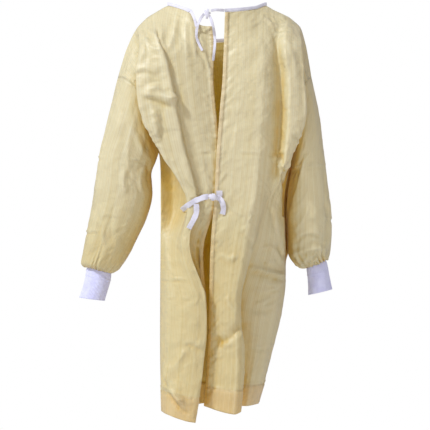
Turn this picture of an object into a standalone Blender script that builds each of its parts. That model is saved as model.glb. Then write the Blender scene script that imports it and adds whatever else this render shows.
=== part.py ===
"""A reusable isolation gown, hanging hollow as if worn and seen open at the back.

The frame is in metres with +Z up. The origin lies midway between the two points where
the shoulder seams meet the neck, which is where the wearer's shoulders carry the gown.
The open back faces -Y, the wearer's left is -X and the wearer's right is +X.
"""

import math

import bmesh
import bpy
import numpy as np
from mathutils import Vector
from mathutils.bvhtree import BVHTree

# Driving sizes, in metres.
MM = 0.001
CLOTH_WALL = 0.0015
HEM_WALL = 0.0022
KNIT_WALL = 0.0024
BINDING_WALL = 0.0026
TAPE_WALL = 0.0012
SEAM_GAP = 0.0004
BINDING_WIDTH = 0.0095
TAPE_LIFT = 0.0012
TAPE_REACH = 0.006
SEAT_RUN = 0.006
NECK_HALF_WIDTH = 0.139
FRONT_NECK_REACH = 0.088
FRONT_NECK_DROP = 0.098

# Rows of every panel, from the shoulder seam to the hem, and the steps between them.
LEVELS = ("top", "yoke", "chest", "bust", "underarm", "waist", "hip", "thigh", "knee", "hem")
LEVEL_STEPS = (3, 2, 2, 3, 3, 2, 3, 2, 3)
ARMHOLE_ROWS = sum(LEVEL_STEPS[:4])

# Steps across the back panels: from the centre edge to the neck point, then to the side.
LEFT_NECK_STEPS = (1, 2, 3)
RIGHT_NECK_STEPS = (2, 2, 1)
SHOULDER_STEPS = (2, 3, 3, 3, 2, 3)
FRONT_NECK_STEPS = 10

# Each row is one level of the left back panel, in millimetres, as x and y of its folds:
# the centre edge, the strip beside it, the root of the neck tie, the neck point, the valley,
# the crest, the edge of the band that the waist tie pulls, the cloth under that edge, the
# recess beyond it and the side.
LEFT_FOLDS = {
    "top": ((-13, -72), (-48, -72), (-77, -55), (-139, -5), (-172, -6), (-198, -6),
            (-224, -6), (-239, -6), (-259, -6), (-281, -6)),
    "yoke": ((-7, -86), (-45, -97), (-80, -104), (-122, -102), (-147, -98), (-160, -114),
             (-220, -90), (-204, -50), (-238, -40), (-256, -46)),
    "chest": ((-10, -98), (-45, -108), (-75, -115), (-102, -116), (-122, -112), (-134, -132),
              (-228, -116), (-198, -72), (-208, -60), (-228, -62)),
    "bust": ((-2, -104), (-35, -112), (-62, -118), (-86, -118), (-105, -114), (-117, -136),
             (-217, -122), (-178, -74), (-184, -58), (-198, -56)),
    "underarm": ((8, -104), (-22, -109), (-44, -113), (-62, -112), (-78, -108), (-90, -130),
                 (-164, -116), (-128, -62), (-140, -8), (-165, -6)),
    "waist": ((0, -104), (-15, -106), (-26, -108), (-34, -106), (-44, -100), (-58, -123),
              (-85, -120), (-80, -66), (-122, -8), (-159, -30)),
    "hip": ((-37, -96), (-48, -99), (-58, -96), (-70, -90), (-82, -96), (-76, -128),
            (-96, -124), (-112, -92), (-136, -66), (-159, -46)),
    "thigh": ((-32, -95), (-42, -98), (-52, -96), (-62, -95), (-70, -108), (-30, -134),
              (-60, -138), (-100, -126), (-138, -106), (-160, -56)),
    "knee": ((-40, -92), (-50, -94), (-58, -94), (-64, -96), (-66, -106), (-34, -136),
             (-65, -140), (-100, -134), (-138, -114), (-160, -64)),
    "hem": ((-58, -90), (-66, -93), (-72, -97), (-77, -102), (-80, -112), (-60, -142),
            (-85, -146), (-112, -140), (-140, -120), (-156, -72)),
}
LEFT_HEIGHTS = {
    "top": (-64, -60, -24, 0, -18, -34, -60, -84, -130, -204),
    "yoke": (-120, -120, -118, -116, -116, -118, -124, -130, -166, -211),
    "chest": (-215, -215, -214, -212, -210, -210, -214, -220, -226, -236),
    "bust": (-310, -310, -310, -308, -306, -304, -306, -314, -318, -322),
    "underarm": (-415,) * 9 + (-416,),
    "waist": (-551,) * 10,
    "hip": (-680,) * 10,
    "thigh": (-835,) * 10,
    "knee": (-990,) * 10,
    "hem": (-1136, -1138, -1140, -1142, -1146, -1172, -1168, -1160, -1150, -1144),
}

# The right back panel: the centre edge, its centre, its middle, the neck point, the lip of
# the deep fold, its valley, the drape beyond it, the drape's edge, the cloth under it and
# the side.
RIGHT_FOLDS = {
    "top": ((22, -80), (70, -64), (112, -34), (139, -5), (160, -6), (182, -6),
            (206, -6), (237, -6), (253, -6), (268, -6)),
    "yoke": ((19, -98), (70, -105), (112, -102), (134, -99), (150, -94), (170, -80),
             (192, -102), (241, -86), (228, -46), (256, -42)),
    "chest": ((15, -112), (68, -120), (108, -122), (130, -122), (152, -112), (178, -90),
              (202, -117), (246, -104), (220, -60), (240, -58)),
    "bust": ((7, -119), (62, -126), (103, -128), (126, -127), (150, -115), (178, -88),
             (202, -119), (251, -106), (212, -60), (224, -54)),
    "underarm": ((-2, -119), (52, -125), (93, -127), (119, -126), (141, -112), (166, -82),
                 (188, -104), (210, -86), (190, -40), (207, -6)),
    "waist": ((-8, -113), (42, -118), (80, -121), (106, -120), (128, -104), (142, -78),
              (158, -56), (176, -38), (190, -16), (192, 12)),
    "hip": ((-18, -110), (22, -116), (54, -120), (80, -118), (102, -104), (106, -76),
            (138, -58), (168, -46), (188, -20), (194, 10)),
    "thigh": ((-22, -110), (8, -118), (32, -125), (52, -126), (69, -110), (48, -70),
              (92, -50), (134, -44), (170, -26), (189, 4)),
    "knee": ((-27, -108), (6, -118), (34, -127), (58, -130), (79, -114), (50, -64),
             (80, -44), (110, -40), (138, -20), (154, 8)),
    "hem": ((-36, -104), (-6, -118), (24, -130), (50, -134), (67, -118), (40, -62),
            (64, -32), (86, -32), (103, -12), (117, 12)),
}
RIGHT_HEIGHTS = {
    "top": (-25, -20, -12, 0, -12, -22, -34, -62, -116, -205),
    "yoke": (-120, -120, -118, -116, -116, -116, -118, -126, -142, -211),
    "chest": (-215, -215, -214, -212, -212, -210, -212, -214, -226, -237),
    "bust": (-312, -312, -312, -312, -312, -312, -314, -324, -326, -330),
    "underarm": (-430, -432, -434, -436, -438, -444, -456, -442, -448, -452),
    "waist": (-551,) * 10,
    "hip": (-680,) * 10,
    "thigh": (-835,) * 10,
    "knee": (-990,) * 10,
    "hem": (-1128, -1138, -1146, -1150, -1142, -1136, -1134, -1134, -1132, -1130),
}

# How far the front stands from the side seams at each level, in millimetres.
FRONT_DEPTHS = {"underarm": 124, "waist": 128, "hip": 132, "thigh": 138, "knee": 146, "hem": 152}

# Folds of the front panel. Place is 0 at the left side seam and 1 at the right one.
FRONT_FOLDS = (
    # (place at top, place at hem, first row, last row, height in mm, width of place)
    (0.22, 0.30, 1, 40, 24, 0.050),
    (0.33, 0.39, 4, 40, -18, 0.036),
    (0.43, 0.50, 9, 40, 16, 0.044),
    (0.57, 0.60, 8, 40, -17, 0.040),
    (0.68, 0.71, 4, 40, 20, 0.042),
    (0.80, 0.83, 1, 40, -20, 0.038),
    (0.12, 0.17, 8, 40, -20, 0.036),
    (0.90, 0.92, 9, 40, 17, 0.034),
)

# Rings of the sleeves, in millimetres: x and z of the outer side and of the inner side,
# half the depth from front to back, and how far the ring stands forward.
LEFT_RINGS = (
    (-309, -318, -174, -442, 66, 0),
    (-332, -415, -186, -474, 65, 2),
    (-346, -500, -184, -542, 64, 6),
    (-357, -572, -200, -602, 62, 12),
    (-370, -640, -228, -662, 57, 18),
    (-382, -702, -256, -716, 50, 24),
    (-386, -734, -280, -748, 42, 27),
    (-370, -742, -301, -760, 27, 28),
)
RIGHT_RINGS = (
    (292, -322, 211, -464, 64, 2),
    (301, -400, 208, -482, 62, 6),
    (313, -490, 202, -522, 60, 14),
    (322, -570, 198, -586, 58, 22),
    (324, -640, 200, -652, 54, 30),
    (321, -694, 204, -708, 48, 36),
    (316, -716, 230, -740, 40, 38),
    (311, -722, 256, -745, 27, 39),
)
RING_STEPS = (2, 2, 1, 1, 2, 1, 1, 1)

# The knit cuffs, as above, below the sleeve's last ring.
LEFT_CUFF_RINGS = ((-377, -780, -308, -795, 29, 29), (-392, -829, -321, -838, 30, 30))
RIGHT_CUFF_RINGS = ((319, -762, 260, -782, 29, 40), (328, -806, 262, -822, 30, 41))

# Tapes, in millimetres: x, z and the lift from the cloth they lie on. A third number
# under zero is instead y itself, where the tape hangs free of the cloth.
TAPES = {
    "waist_tie_tail_left": ((-28, -544, -127), (-44, -547, -129), (-60, -553, 1),
                            (-78, -564, 0), (-98, -579, 0)),
    "waist_tie_tail_down": ((-60, -570, 1), (-58, -582, 0), (-61, -596, 0), (-70, -614, 0),
                            (-78, -631, 0)),
    "waist_tie_loop_right": ((4, -546, -124), (10, -552, 1), (16, -564, 2), (17, -580, 2),
                             (14, -592, 1)),
    "neck_tie_tail_left": ((-38, -32, -91), (-48, -48, -93), (-55, -66, -95), (-57, -86, 1),
                           (-55, -104, 0), (-47, -122, 0), (-40, -134, 0)),
    "neck_tie_tail_right": ((-19, -38, -93), (-13, -58, -97), (-8, -80, 1), (-6, -100, 0),
                            (-8, -128, 0), (-10, -160, 0)),
    "neck_tie_left": ((-73, -20, -60), (-66, -34, -74), (-60, -50, -84), (-57, -64, -90)),
    "neck_tie_right": ((20, -18, -82), (4, -19, -86), (-8, -20, -89), (-17, -21, -91)),
}
TAPE_WIDTHS = {"waist": 0.015, "neck": 0.008}
# Knots, in millimetres: centre and half sizes along x, y and z.
KNOTS = {
    "neck_tie_knot": ((-27, -91, -30), (10, 6, 15)),
    "waist_tie_knot": ((-11, -127, -544), (13, 8, 10)),
}
# The tapes that start or end against another piece, and the point they run towards there.
STARTS_AT = {
    "neck_tie_tail_left": ("neck_tie_knot", (-27, -91, -30)),
    "neck_tie_tail_right": ("neck_tie_knot", (-27, -91, -30)),
    "waist_tie_tail_left": ("waist_tie_knot", (-11, -127, -544)),
    "waist_tie_loop_right": ("waist_tie_knot", (-11, -127, -544)),
}
ENDS_AT = {
    "neck_tie_right": ("neck_tie_knot", (-27, -91, -30)),
    "neck_tie_left": ("neck_tie_tail_left", (-56, -99, -68)),
}
WAIST_PATCH = {"left": 5, "right": 27, "high": -520, "low": -545, "steps": 4}

COLOURS = {
    "cloth": (0.66, 0.53, 0.27, 1),
    "knit": (0.72, 0.72, 0.86, 1),
    "tape": (0.78, 0.77, 0.88, 1),
}
ROUGHNESS = {"cloth": 0.6, "knit": 0.8, "tape": 0.8}


def clear_scene():
    for scene_object in list(bpy.data.objects):
        bpy.data.objects.remove(scene_object, do_unlink=True)


def through(points, steps):
    """Points of a smooth curve through points, with steps[i] pieces between points i and i+1."""
    points = np.asarray(points, float)
    gaps = np.maximum(np.linalg.norm(np.diff(points, axis=0), axis=1) ** 0.5, 1e-5)
    slopes = np.diff(points, axis=0) / gaps[:, None]
    tangents = np.zeros_like(points)
    before, after = gaps[:-1, None], gaps[1:, None]
    tangents[1:-1] = (slopes[:-1] * after + slopes[1:] * before) / (before + after)
    tangents[0] = 1.5 * slopes[0] - 0.5 * tangents[1]
    tangents[-1] = 1.5 * slopes[-1] - 0.5 * tangents[-2]
    curve = [points[0]]
    for i, count in enumerate(steps):
        for step in range(1, count + 1):
            s = step / count
            curve.append(
                (1 + 2 * s) * (1 - s) ** 2 * points[i]
                + s * (1 - s) ** 2 * gaps[i] * tangents[i]
                + s * s * (3 - 2 * s) * points[i + 1]
                + s * s * (s - 1) * gaps[i] * tangents[i + 1]
            )
    return np.array(curve)


def net(rows, across, down):
    """A smooth grid, (row, column, xyz), through the control points of rows."""
    wide = np.array([through(row, across) for row in rows])
    return np.array([through(wide[:, c], down) for c in range(wide.shape[1])]).swapaxes(0, 1)


def back_panel(folds, heights, neck_steps):
    rows = []
    for level in LEVELS:
        row = [(x, y, z) for (x, y), z in zip(folds[level], heights[level])]
        rows.append(np.array(row) * MM)
    return net(rows, neck_steps + SHOULDER_STEPS, LEVEL_STEPS)


def front_neckline():
    """The front edge of the neck hole, from the left neck point to the right one."""
    turn = np.linspace(0, math.pi, FRONT_NECK_STEPS + 1)
    dip = np.sin(turn)
    return np.stack(
        [
            -NECK_HALF_WIDTH * np.cos(turn),
            -0.005 + FRONT_NECK_REACH * dip**0.8,
            -FRONT_NECK_DROP * dip**1.25,
        ],
        axis=1,
    )


def front_section(left, right, depth, places):
    """One level of the front, bulging from one side seam to the other."""
    turn = math.pi * places
    middle, half = (left + right) / 2, (right - left) / 2
    cosine = np.cos(turn)
    spread = -np.sign(cosine) * np.abs(cosine) ** 0.9
    section = middle + half * spread[:, None]
    section[:, 1] += depth * np.sin(turn).clip(0) ** 0.72
    return section


def front_panel(left, right):
    """The front, sewn to the two back panels at the shoulders and the sides."""
    neck_left = sum(LEFT_NECK_STEPS)
    shoulder = sum(SHOULDER_STEPS)
    left_shoulder = left[0, neck_left:][::-1]
    right_shoulder = right[0, sum(RIGHT_NECK_STEPS):]
    top = np.concatenate([left_shoulder, front_neckline()[1:-1], right_shoulder])
    columns = len(top)
    places = np.linspace(0, 1, columns)
    forward = np.array([1, -1, 1])
    left_side, right_side = left[:, -1].copy(), right[:, -1].copy()
    left_side[:ARMHOLE_ROWS] = left[:ARMHOLE_ROWS, -1] * forward + (0, 2 * left[0, -1, 1], 0)
    right_side[:ARMHOLE_ROWS] = right[:ARMHOLE_ROWS, -1] * forward + (0, 2 * right[0, -1, 1], 0)
    rows = len(left_side)
    level_rows = np.cumsum((0,) + LEVEL_STEPS)
    named = {level: row for level, row in zip(LEVELS, level_rows)}
    depths = np.interp(
        np.arange(rows), [named[k] for k in FRONT_DEPTHS], list(FRONT_DEPTHS.values())
    )
    grid = np.zeros((rows, columns, 3))
    for row in range(ARMHOLE_ROWS, rows):
        grid[row] = front_section(left_side[row], right_side[row], depths[row] * MM, places)
    underarm = grid[ARMHOLE_ROWS]
    from_left = np.clip(1 - np.arange(columns) / (shoulder * 0.6), 0, 1)[:, None] ** 2
    from_right = from_left[::-1]
    for row in range(ARMHOLE_ROWS):
        t = row / ARMHOLE_ROWS
        line = top + (underarm - top) * t
        line[:, 1] = top[:, 1] + (underarm[:, 1] - top[:, 1]) * math.sin(t * math.pi / 2) ** 0.8
        line = line + from_left * (left_side[row] - line[0]) + from_right * (right_side[row] - line[-1])
        grid[row] = top if row == 0 else line
    outward = np.stack([-np.cos(math.pi * places) * 0.7, np.sin(math.pi * places), 0 * places], 1)
    for high, low, first, last, height, width in FRONT_FOLDS:
        for row in range(first, min(last, rows)):
            centre = high + (low - high) * row / rows
            rise = min(1.0, (row - first + 1) / 6)
            edge = np.sin(math.pi * places).clip(0) ** 0.3
            bump = np.exp(-(((places - centre) / width) ** 2)) * edge
            grid[row] += outward * (height * MM * rise * bump)[:, None]
    return grid


def sleeve(armhole, rings, toward_back):
    """The sleeve's rings, from the armhole to the cuff. armhole starts at the underarm."""
    turn = np.linspace(0, 2 * math.pi, len(armhole), endpoint=False)
    control = [armhole]
    for ring in rings:
        control.append(sleeve_ring(ring, turn, toward_back))
    control = np.array(control)
    return np.array(
        [through(control[:, k], RING_STEPS[: len(rings)]) for k in range(len(turn))]
    ).swapaxes(0, 1)


def sleeve_ring(ring, turn, toward_back):
    outer_x, outer_z, inner_x, inner_z, depth, forward = (value * MM for value in ring)
    inner = np.array([inner_x, forward, inner_z])
    outer = np.array([outer_x, forward, outer_z])
    middle = (inner + outer) / 2
    across = np.cos(turn)[:, None] * (inner - middle)
    along_y = np.sin(turn)[:, None] * np.array([0, depth * (-1 if toward_back else 1), 0])
    return middle + across + along_y


def binding(panels):
    """The neck binding: a strip above the neck edges of the three panels, run in one."""
    left, front, right = panels
    root, neck = sum(LEFT_NECK_STEPS[:2]), sum(LEFT_NECK_STEPS)
    shoulder = sum(SHOULDER_STEPS)
    front_cols = range(shoulder, front.shape[1] - shoulder)
    lower, down = [], []
    for panel, columns in (
        (left, range(root, neck + 1)),
        (front, front_cols),
        (right, range(right.shape[1] - 1 - sum(RIGHT_NECK_STEPS), right.shape[1])),
    ):
        for column in columns:
            step = panel[1, column] - panel[0, column]
            step = step / np.linalg.norm(step)
            if lower and np.allclose(lower[-1], panel[0, column], atol=1e-7):
                down[-1] = down[-1] + step
                continue
            lower.append(panel[0, column])
            down.append(step)
    lower, down = np.array(lower), np.array(down)
    down = down + np.array([0, 0, -0.6])
    for _ in range(2):
        down[1:-1] = (down[:-2] + 2 * down[1:-1] + down[2:]) / 4
    down /= np.linalg.norm(down, axis=1)[:, None]
    lower = lower - down * SEAM_GAP
    return np.stack([lower - down * BINDING_WIDTH, lower - down * BINDING_WIDTH / 2, lower])


def faces_of(grid, closed):
    rows, columns = grid.shape[:2]
    spans = columns if closed else columns - 1
    for r in range(rows - 1):
        for c in range(spans):
            yield r, c, (c + 1) % columns


def shared_normals(grids):
    """Vertex normals of all grids, evened out a little, and equal where grids meet at a seam."""
    key = lambda point: tuple(np.round(point * 1e6).astype(int))
    corners, total = [], {}
    for grid, closed in grids.values():
        for r, c, d in faces_of(grid, closed):
            points = grid[r, c], grid[r, d], grid[r + 1, d], grid[r + 1, c]
            normal = np.cross(points[2] - points[0], points[3] - points[1])
            corners.append([key(point) for point in points])
            for corner in corners[-1]:
                total[corner] = total.get(corner, 0) + normal
    for _ in range(2):
        unit = {corner: normal / np.linalg.norm(normal) for corner, normal in total.items()}
        total = {corner: normal * 2 for corner, normal in unit.items()}
        for around in corners:
            for corner in around:
                total[corner] = total[corner] + sum(unit[other] for other in around) / 4
    found = {}
    for name, (grid, _) in grids.items():
        normals = np.array([[total[key(point)] for point in row] for row in grid])
        found[name] = normals / np.linalg.norm(normals, axis=2)[:, :, None]
    return found


def inset_borders(grid, normals, closed):
    """The grid with its borders drawn in by half of the gap at a seam."""
    moved = grid.copy()
    rows = ((0, 1), (-1, -2))
    for border, inner in rows:
        line, n = grid[border], normals[border]
        tangent = np.roll(line, -1, 0) - np.roll(line, 1, 0) if closed else np.gradient(line, axis=0)
        moved[border] += inward(tangent, n, grid[inner] - line)
    if not closed:
        for border, inner in rows:
            line, n = grid[:, border], normals[:, border]
            moved[:, border] += inward(np.gradient(line, axis=0), n, grid[:, inner] - line)
    return moved


def inward(tangent, normal, toward):
    side = np.cross(normal, tangent)
    side /= np.linalg.norm(side, axis=1)[:, None]
    sign = np.sign((side * toward).sum(axis=1))
    return side * (sign * SEAM_GAP / 2)[:, None]


def wall_mesh(name, grid, normals, wall, closed=False):
    """A closed wall around the grid; wall is one thickness or one for each row."""
    rows, columns = grid.shape[:2]
    half = np.broadcast_to(np.asarray(wall, float) / 2, (rows,))[:, None, None]
    sides = [grid + normals * half, grid - normals * half]
    points = np.concatenate([side.reshape(-1, 3) for side in sides])
    inside = rows * columns
    at = lambda r, c: (r % rows) * columns + c
    faces = []
    for r, c, d in faces_of(grid, closed):
        outer = [at(r, c), at(r, d), at(r + 1, d), at(r + 1, c)]
        faces += [outer, [inside + i for i in reversed(outer)]]
    spans = columns if closed else columns - 1
    rim = []
    for c in range(spans):
        d = (c + 1) % columns
        rim += [(at(0, d), at(0, c)), (at(rows - 1, c), at(rows - 1, d))]
    if not closed:
        for r in range(rows - 1):
            rim += [(at(r, 0), at(r + 1, 0)), (at(r + 1, columns - 1), at(r, columns - 1))]
    height = grid.reshape(-1, 3)[:, 2]
    for a, b in rim:
        # The two walls that meet at a seam split each of its faces along the same diagonal.
        if height[a] > height[b]:
            faces += [[a, b, inside + b], [a, inside + b, inside + a]]
        else:
            faces += [[a, b, inside + a], [b, inside + b, inside + a]]
    mesh = bpy.data.meshes.new(name)
    mesh.from_pydata(points.tolist(), [], faces)
    mesh.shade_smooth()
    mesh.set_sharp_from_angle(angle=math.radians(50))
    return mesh


def add_object(name, mesh, cloth):
    material = bpy.data.materials.new(name)
    material.use_nodes = True
    shader = material.node_tree.nodes["Principled BSDF"]
    shader.inputs["Base Color"].default_value = COLOURS[cloth]
    shader.inputs["Roughness"].default_value = ROUGHNESS[cloth]
    shader.inputs["Metallic"].default_value = 0.0
    mesh.materials.append(material)
    made = bpy.data.objects.new(name, mesh)
    bpy.context.scene.collection.objects.link(made)
    return made


def surface_tree(grids, normals):
    """The outer faces of the panels, for tapes that lie on them."""
    points, faces = [], []
    for name, (grid, closed) in grids.items():
        start, columns = len(points), grid.shape[1]
        outer = grid + normals[name] * CLOTH_WALL / 2
        points += [Vector(point) for point in outer.reshape(-1, 3)]
        for r, c, d in faces_of(grid, closed):
            corners = (r * columns + c, r * columns + d, (r + 1) * columns + d, (r + 1) * columns + c)
            faces.append([start + corner for corner in corners])
    return BVHTree.FromPolygons(points, faces)


def on_cloth(tree, x, z, lift, reach=TAPE_REACH):
    """The point at x and z that stands lift in front of the cloth seen from behind."""
    nearest = []
    for over in (-reach, 0, reach):
        for up in (-reach, 0, reach):
            hit = tree.ray_cast(Vector((x + over, -1, z + up)), Vector((0, 1, 0)))[0]
            if hit is not None:
                nearest.append(hit.y)
    if not nearest:
        nearest.append(tree.find_nearest(Vector((x, -0.1, z)))[0].y)
    return np.array([x, min(nearest) - lift, z])


def tape(tree, route, width):
    """The grid of a flat tape along a route of (x, z, lift or y)."""
    flat = np.array([(x, z) for x, z, _ in route]) * MM
    marks = [third for _, _, third in route]
    curve = through(flat, [2] * (len(flat) - 1))
    run = np.gradient(curve, axis=0)
    run /= np.linalg.norm(run, axis=1)[:, None]
    side = np.column_stack([-run[:, 1], run[:, 0]])
    grid = []
    for i, point in enumerate(curve):
        where = i / 2
        low, high = int(where), min(int(where) + 1, len(marks) - 1)
        row = []
        for across in (0.5, 0, -0.5):
            x, z = point + side[i] * width * across
            ends = []
            for mark in (marks[low], marks[high]):
                free = np.array([x, mark * MM, z])
                ends.append(free if mark < 0 else on_cloth(tree, x, z, TAPE_LIFT + mark * MM))
            row.append(ends[0] + (ends[1] - ends[0]) * (where - low))
        grid.append(row)
    grid = np.array(grid)
    level = grid[:, :, 1].min(axis=1)
    for _ in range(2):
        level[1:-1] = (level[:-2] + 2 * level[1:-1] + level[2:]) / 4
    grid[:, :, 1] = level[:, None]
    return grid


def seat_row(grid, row, mesh, toward):
    """Moves one end row of a tape toward a point until it lies a seam's gap from the mesh."""
    neighbour = BVHTree.FromPolygons(
        [vertex.co for vertex in mesh.vertices], [face.vertices for face in mesh.polygons]
    )
    way = np.array(toward) - grid[row, 1]
    way /= np.linalg.norm(way)
    ends = grid[row, 0], grid[row, -1]
    edge = [ends[0] + (ends[1] - ends[0]) * t for t in np.linspace(0, 1, 9)]
    edge += [point + (0, depth, 0) for point in edge for depth in (-TAPE_WALL / 2, TAPE_WALL / 2)]
    shift = -SEAT_RUN
    while shift < SEAT_RUN:
        gap = min(neighbour.find_nearest(Vector(point + way * shift))[3] for point in edge)
        if gap < SEAM_GAP:
            break
        shift += SEAM_GAP / 4
    grid[row] += way * shift


def own_normals(grid):
    along = np.gradient(grid, axis=0)
    across = np.gradient(grid, axis=1)
    normals = np.cross(across, along)
    return normals / np.linalg.norm(normals, axis=2)[:, :, None]


def knot_mesh(name, centre, half):
    shape = bmesh.new()
    bmesh.ops.create_uvsphere(shape, u_segments=12, v_segments=8, radius=1.0)
    bmesh.ops.scale(shape, vec=Vector(half) * MM, verts=shape.verts)
    bmesh.ops.translate(shape, vec=Vector(centre) * MM, verts=shape.verts)
    mesh = bpy.data.meshes.new(name)
    shape.to_mesh(mesh)
    shape.free()
    mesh.shade_smooth()
    return mesh


def patch_grid(tree):
    """Where the right waist tape is sewn down, a little in front of the right back panel."""
    xs = np.linspace(WAIST_PATCH["left"], WAIST_PATCH["right"], WAIST_PATCH["steps"] + 1) * MM
    zs = np.linspace(WAIST_PATCH["high"], WAIST_PATCH["low"], 3) * MM
    return np.array([[on_cloth(tree, x, z, TAPE_LIFT, reach=0.001) for x in xs[::-1]] for z in zs])


def build():
    clear_scene()
    left = back_panel(LEFT_FOLDS, LEFT_HEIGHTS, LEFT_NECK_STEPS)
    right = back_panel(RIGHT_FOLDS, RIGHT_HEIGHTS, RIGHT_NECK_STEPS)
    front = front_panel(left, right)
    right = right[:, ::-1]
    rows = slice(0, ARMHOLE_ROWS + 1)
    left_armhole = np.concatenate([left[rows, -1][::-1], front[rows, 0][1:-1]])
    right_armhole = np.concatenate([front[rows, -1][::-1], right[rows, 0][1:-1]])
    left_sleeve = sleeve(left_armhole, LEFT_RINGS, toward_back=True)
    right_sleeve = sleeve(right_armhole, RIGHT_RINGS, toward_back=False)
    around = np.linspace(0, 2 * math.pi, 2 * ARMHOLE_ROWS, endpoint=False)
    grids = {
        "back_left": (left, False),
        "back_right": (right, False),
        "front_panel": (front, False),
        "sleeve_left": (left_sleeve, True),
        "sleeve_right": (right_sleeve, True),
        "cuff_left": (cuff(left_sleeve[-1], LEFT_CUFF_RINGS, around, True), True),
        "cuff_right": (cuff(right_sleeve[-1], RIGHT_CUFF_RINGS, around, False), True),
        "neck_binding": (binding((left, front, right)), False),
    }
    normals = shared_normals(grids)
    panel_walls = np.full(left.shape[0], CLOTH_WALL)
    panel_walls[-2:] = HEM_WALL
    walls = {
        "back_left": panel_walls,
        "back_right": panel_walls,
        "front_panel": panel_walls,
        "neck_binding": BINDING_WALL,
        "cuff_left": KNIT_WALL,
        "cuff_right": KNIT_WALL,
    }
    cloths = {"cuff_left": "knit", "cuff_right": "knit", "neck_binding": "tape"}
    for name, (grid, closed) in grids.items():
        drawn_in = inset_borders(grid, normals[name], closed)
        mesh = wall_mesh(name, drawn_in, normals[name], walls.get(name, CLOTH_WALL), closed)
        add_object(name, mesh, cloths.get(name, "cloth"))
    tree = surface_tree({name: grids[name] for name in ("back_left", "back_right")}, normals)
    knots = {name: knot_mesh(name, *sizes) for name, sizes in KNOTS.items()}
    made = dict(knots)
    for name, mesh in knots.items():
        add_object(name, mesh, "tape")
    for name, route in TAPES.items():
        grid = tape(tree, route, TAPE_WIDTHS[name.split("_")[0]])
        for row, table in ((0, STARTS_AT), (-1, ENDS_AT)):
            if name in table:
                other, toward = table[name]
                seat_row(grid, row, made[other], np.array(toward) * MM)
        if name in ("neck_tie_left", "neck_tie_right"):
            start_at_binding(grid, grids["neck_binding"][0], name == "neck_tie_left")
        made[name] = wall_mesh(name, grid, own_normals(grid), TAPE_WALL)
        add_object(name, made[name], "tape")
    grid = patch_grid(tree)
    patch = wall_mesh("waist_tie_patch", grid, own_normals(grid), TAPE_WALL)
    add_object("waist_tie_patch", patch, "tape")


def start_at_binding(grid, band, at_left):
    """The tie runs on from the end of the neck binding, a seam's gap past it."""
    end = band[:, 0] if at_left else band[::-1, -1]
    way = grid[1, 1] - end[1]
    grid[0] = end + way / np.linalg.norm(way) * SEAM_GAP * 1.5 + (0, -SEAM_GAP / 2, SEAM_GAP / 2)


def cuff(top, rings, turn, toward_back):
    control = [top] + [sleeve_ring(ring, turn, toward_back) for ring in rings]
    control = np.array(control)
    return np.array([through(control[:, k], (2, 2)) for k in range(len(turn))]).swapaxes(0, 1)


build()
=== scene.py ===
import math

import bmesh
import bpy
import numpy as np
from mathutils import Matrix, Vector
from mathutils.bvhtree import BVHTree


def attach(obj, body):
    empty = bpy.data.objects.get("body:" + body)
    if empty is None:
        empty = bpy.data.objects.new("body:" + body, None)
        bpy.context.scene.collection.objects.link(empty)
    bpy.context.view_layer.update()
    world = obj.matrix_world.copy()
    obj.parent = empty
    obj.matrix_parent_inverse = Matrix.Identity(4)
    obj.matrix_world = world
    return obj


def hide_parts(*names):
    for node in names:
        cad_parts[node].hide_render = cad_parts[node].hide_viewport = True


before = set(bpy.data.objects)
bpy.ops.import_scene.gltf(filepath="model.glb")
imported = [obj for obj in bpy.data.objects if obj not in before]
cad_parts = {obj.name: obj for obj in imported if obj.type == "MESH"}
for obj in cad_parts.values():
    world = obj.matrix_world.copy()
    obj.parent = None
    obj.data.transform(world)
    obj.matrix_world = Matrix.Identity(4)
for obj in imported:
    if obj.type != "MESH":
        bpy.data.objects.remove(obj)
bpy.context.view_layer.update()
mm = 0.001
bpy.ops.object.select_all(action="DESELECT")
print("frame loaded")

# Sizes that the woven pieces share, in metres. "taut" is the share of straight lines in the
# shape across a back panel, and "crisp" raises all creases.
woven = {
    "wall": 0.0008,
    "hemWall": 0.0014,
    "seamGap": 0.0001,
    "hemDepth": 0.060,
    "edgeFold": 0.011,
    "taut": 0.6,
    "crisp": 1.15,
}
levels = ("top", "yoke", "chest", "bust", "underarm", "waist", "hip", "thigh", "knee", "hem")
cadRows = (3, 2, 2, 3, 3, 2, 3, 2, 3)   # rows of the solids between the levels
downSteps = (32, 23, 23, 26, 33, 31, 38, 38, 38)
armholeRow = sum(cadRows[:4])
armholeSteps = sum(downSteps[:4])


# Helpers for curves and grids
def smoothThrough(points, steps):
    # a smooth curve through the points, for many curves side by side
    points = np.asarray(points, float)
    gaps = np.linalg.norm(np.diff(points, axis=0), axis=-1, keepdims=True) ** 0.5
    gaps = np.maximum(gaps, 1e-5)
    slopes = np.diff(points, axis=0) / gaps
    tangents = np.zeros_like(points)
    before, after = gaps[:-1], gaps[1:]
    tangents[1:-1] = (slopes[:-1] * after + slopes[1:] * before) / (before + after)
    tangents[0] = 1.5 * slopes[0] - 0.5 * tangents[1]
    tangents[-1] = 1.5 * slopes[-1] - 0.5 * tangents[-2]
    curve = [points[0]]
    for i, count in enumerate(steps):
        for step in range(1, count + 1):
            s = step / count
            curve.append(
                (1 + 2 * s) * (1 - s) ** 2 * points[i]
                + s * (1 - s) ** 2 * gaps[i] * tangents[i]
                + s * s * (3 - 2 * s) * points[i + 1]
                + s * s * (s - 1) * gaps[i] * tangents[i + 1]
            )
    return np.array(curve)


def straightThrough(points, steps):
    # straight lines between the same points
    points = np.asarray(points, float)
    line = [points[0]]
    for i, count in enumerate(steps):
        line += [points[i] + (points[i + 1] - points[i]) * (step / count) for step in range(1, count + 1)]
    return np.array(line)


def placesAlong(steps, counts):
    # how far along the solid's own rows or columns each fine line lies
    places = [0.0]
    for step, count in zip(steps, counts):
        start = places[-1]
        places += [start + step * (i + 1) / count for i in range(count)]
    return np.array(places)


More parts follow.
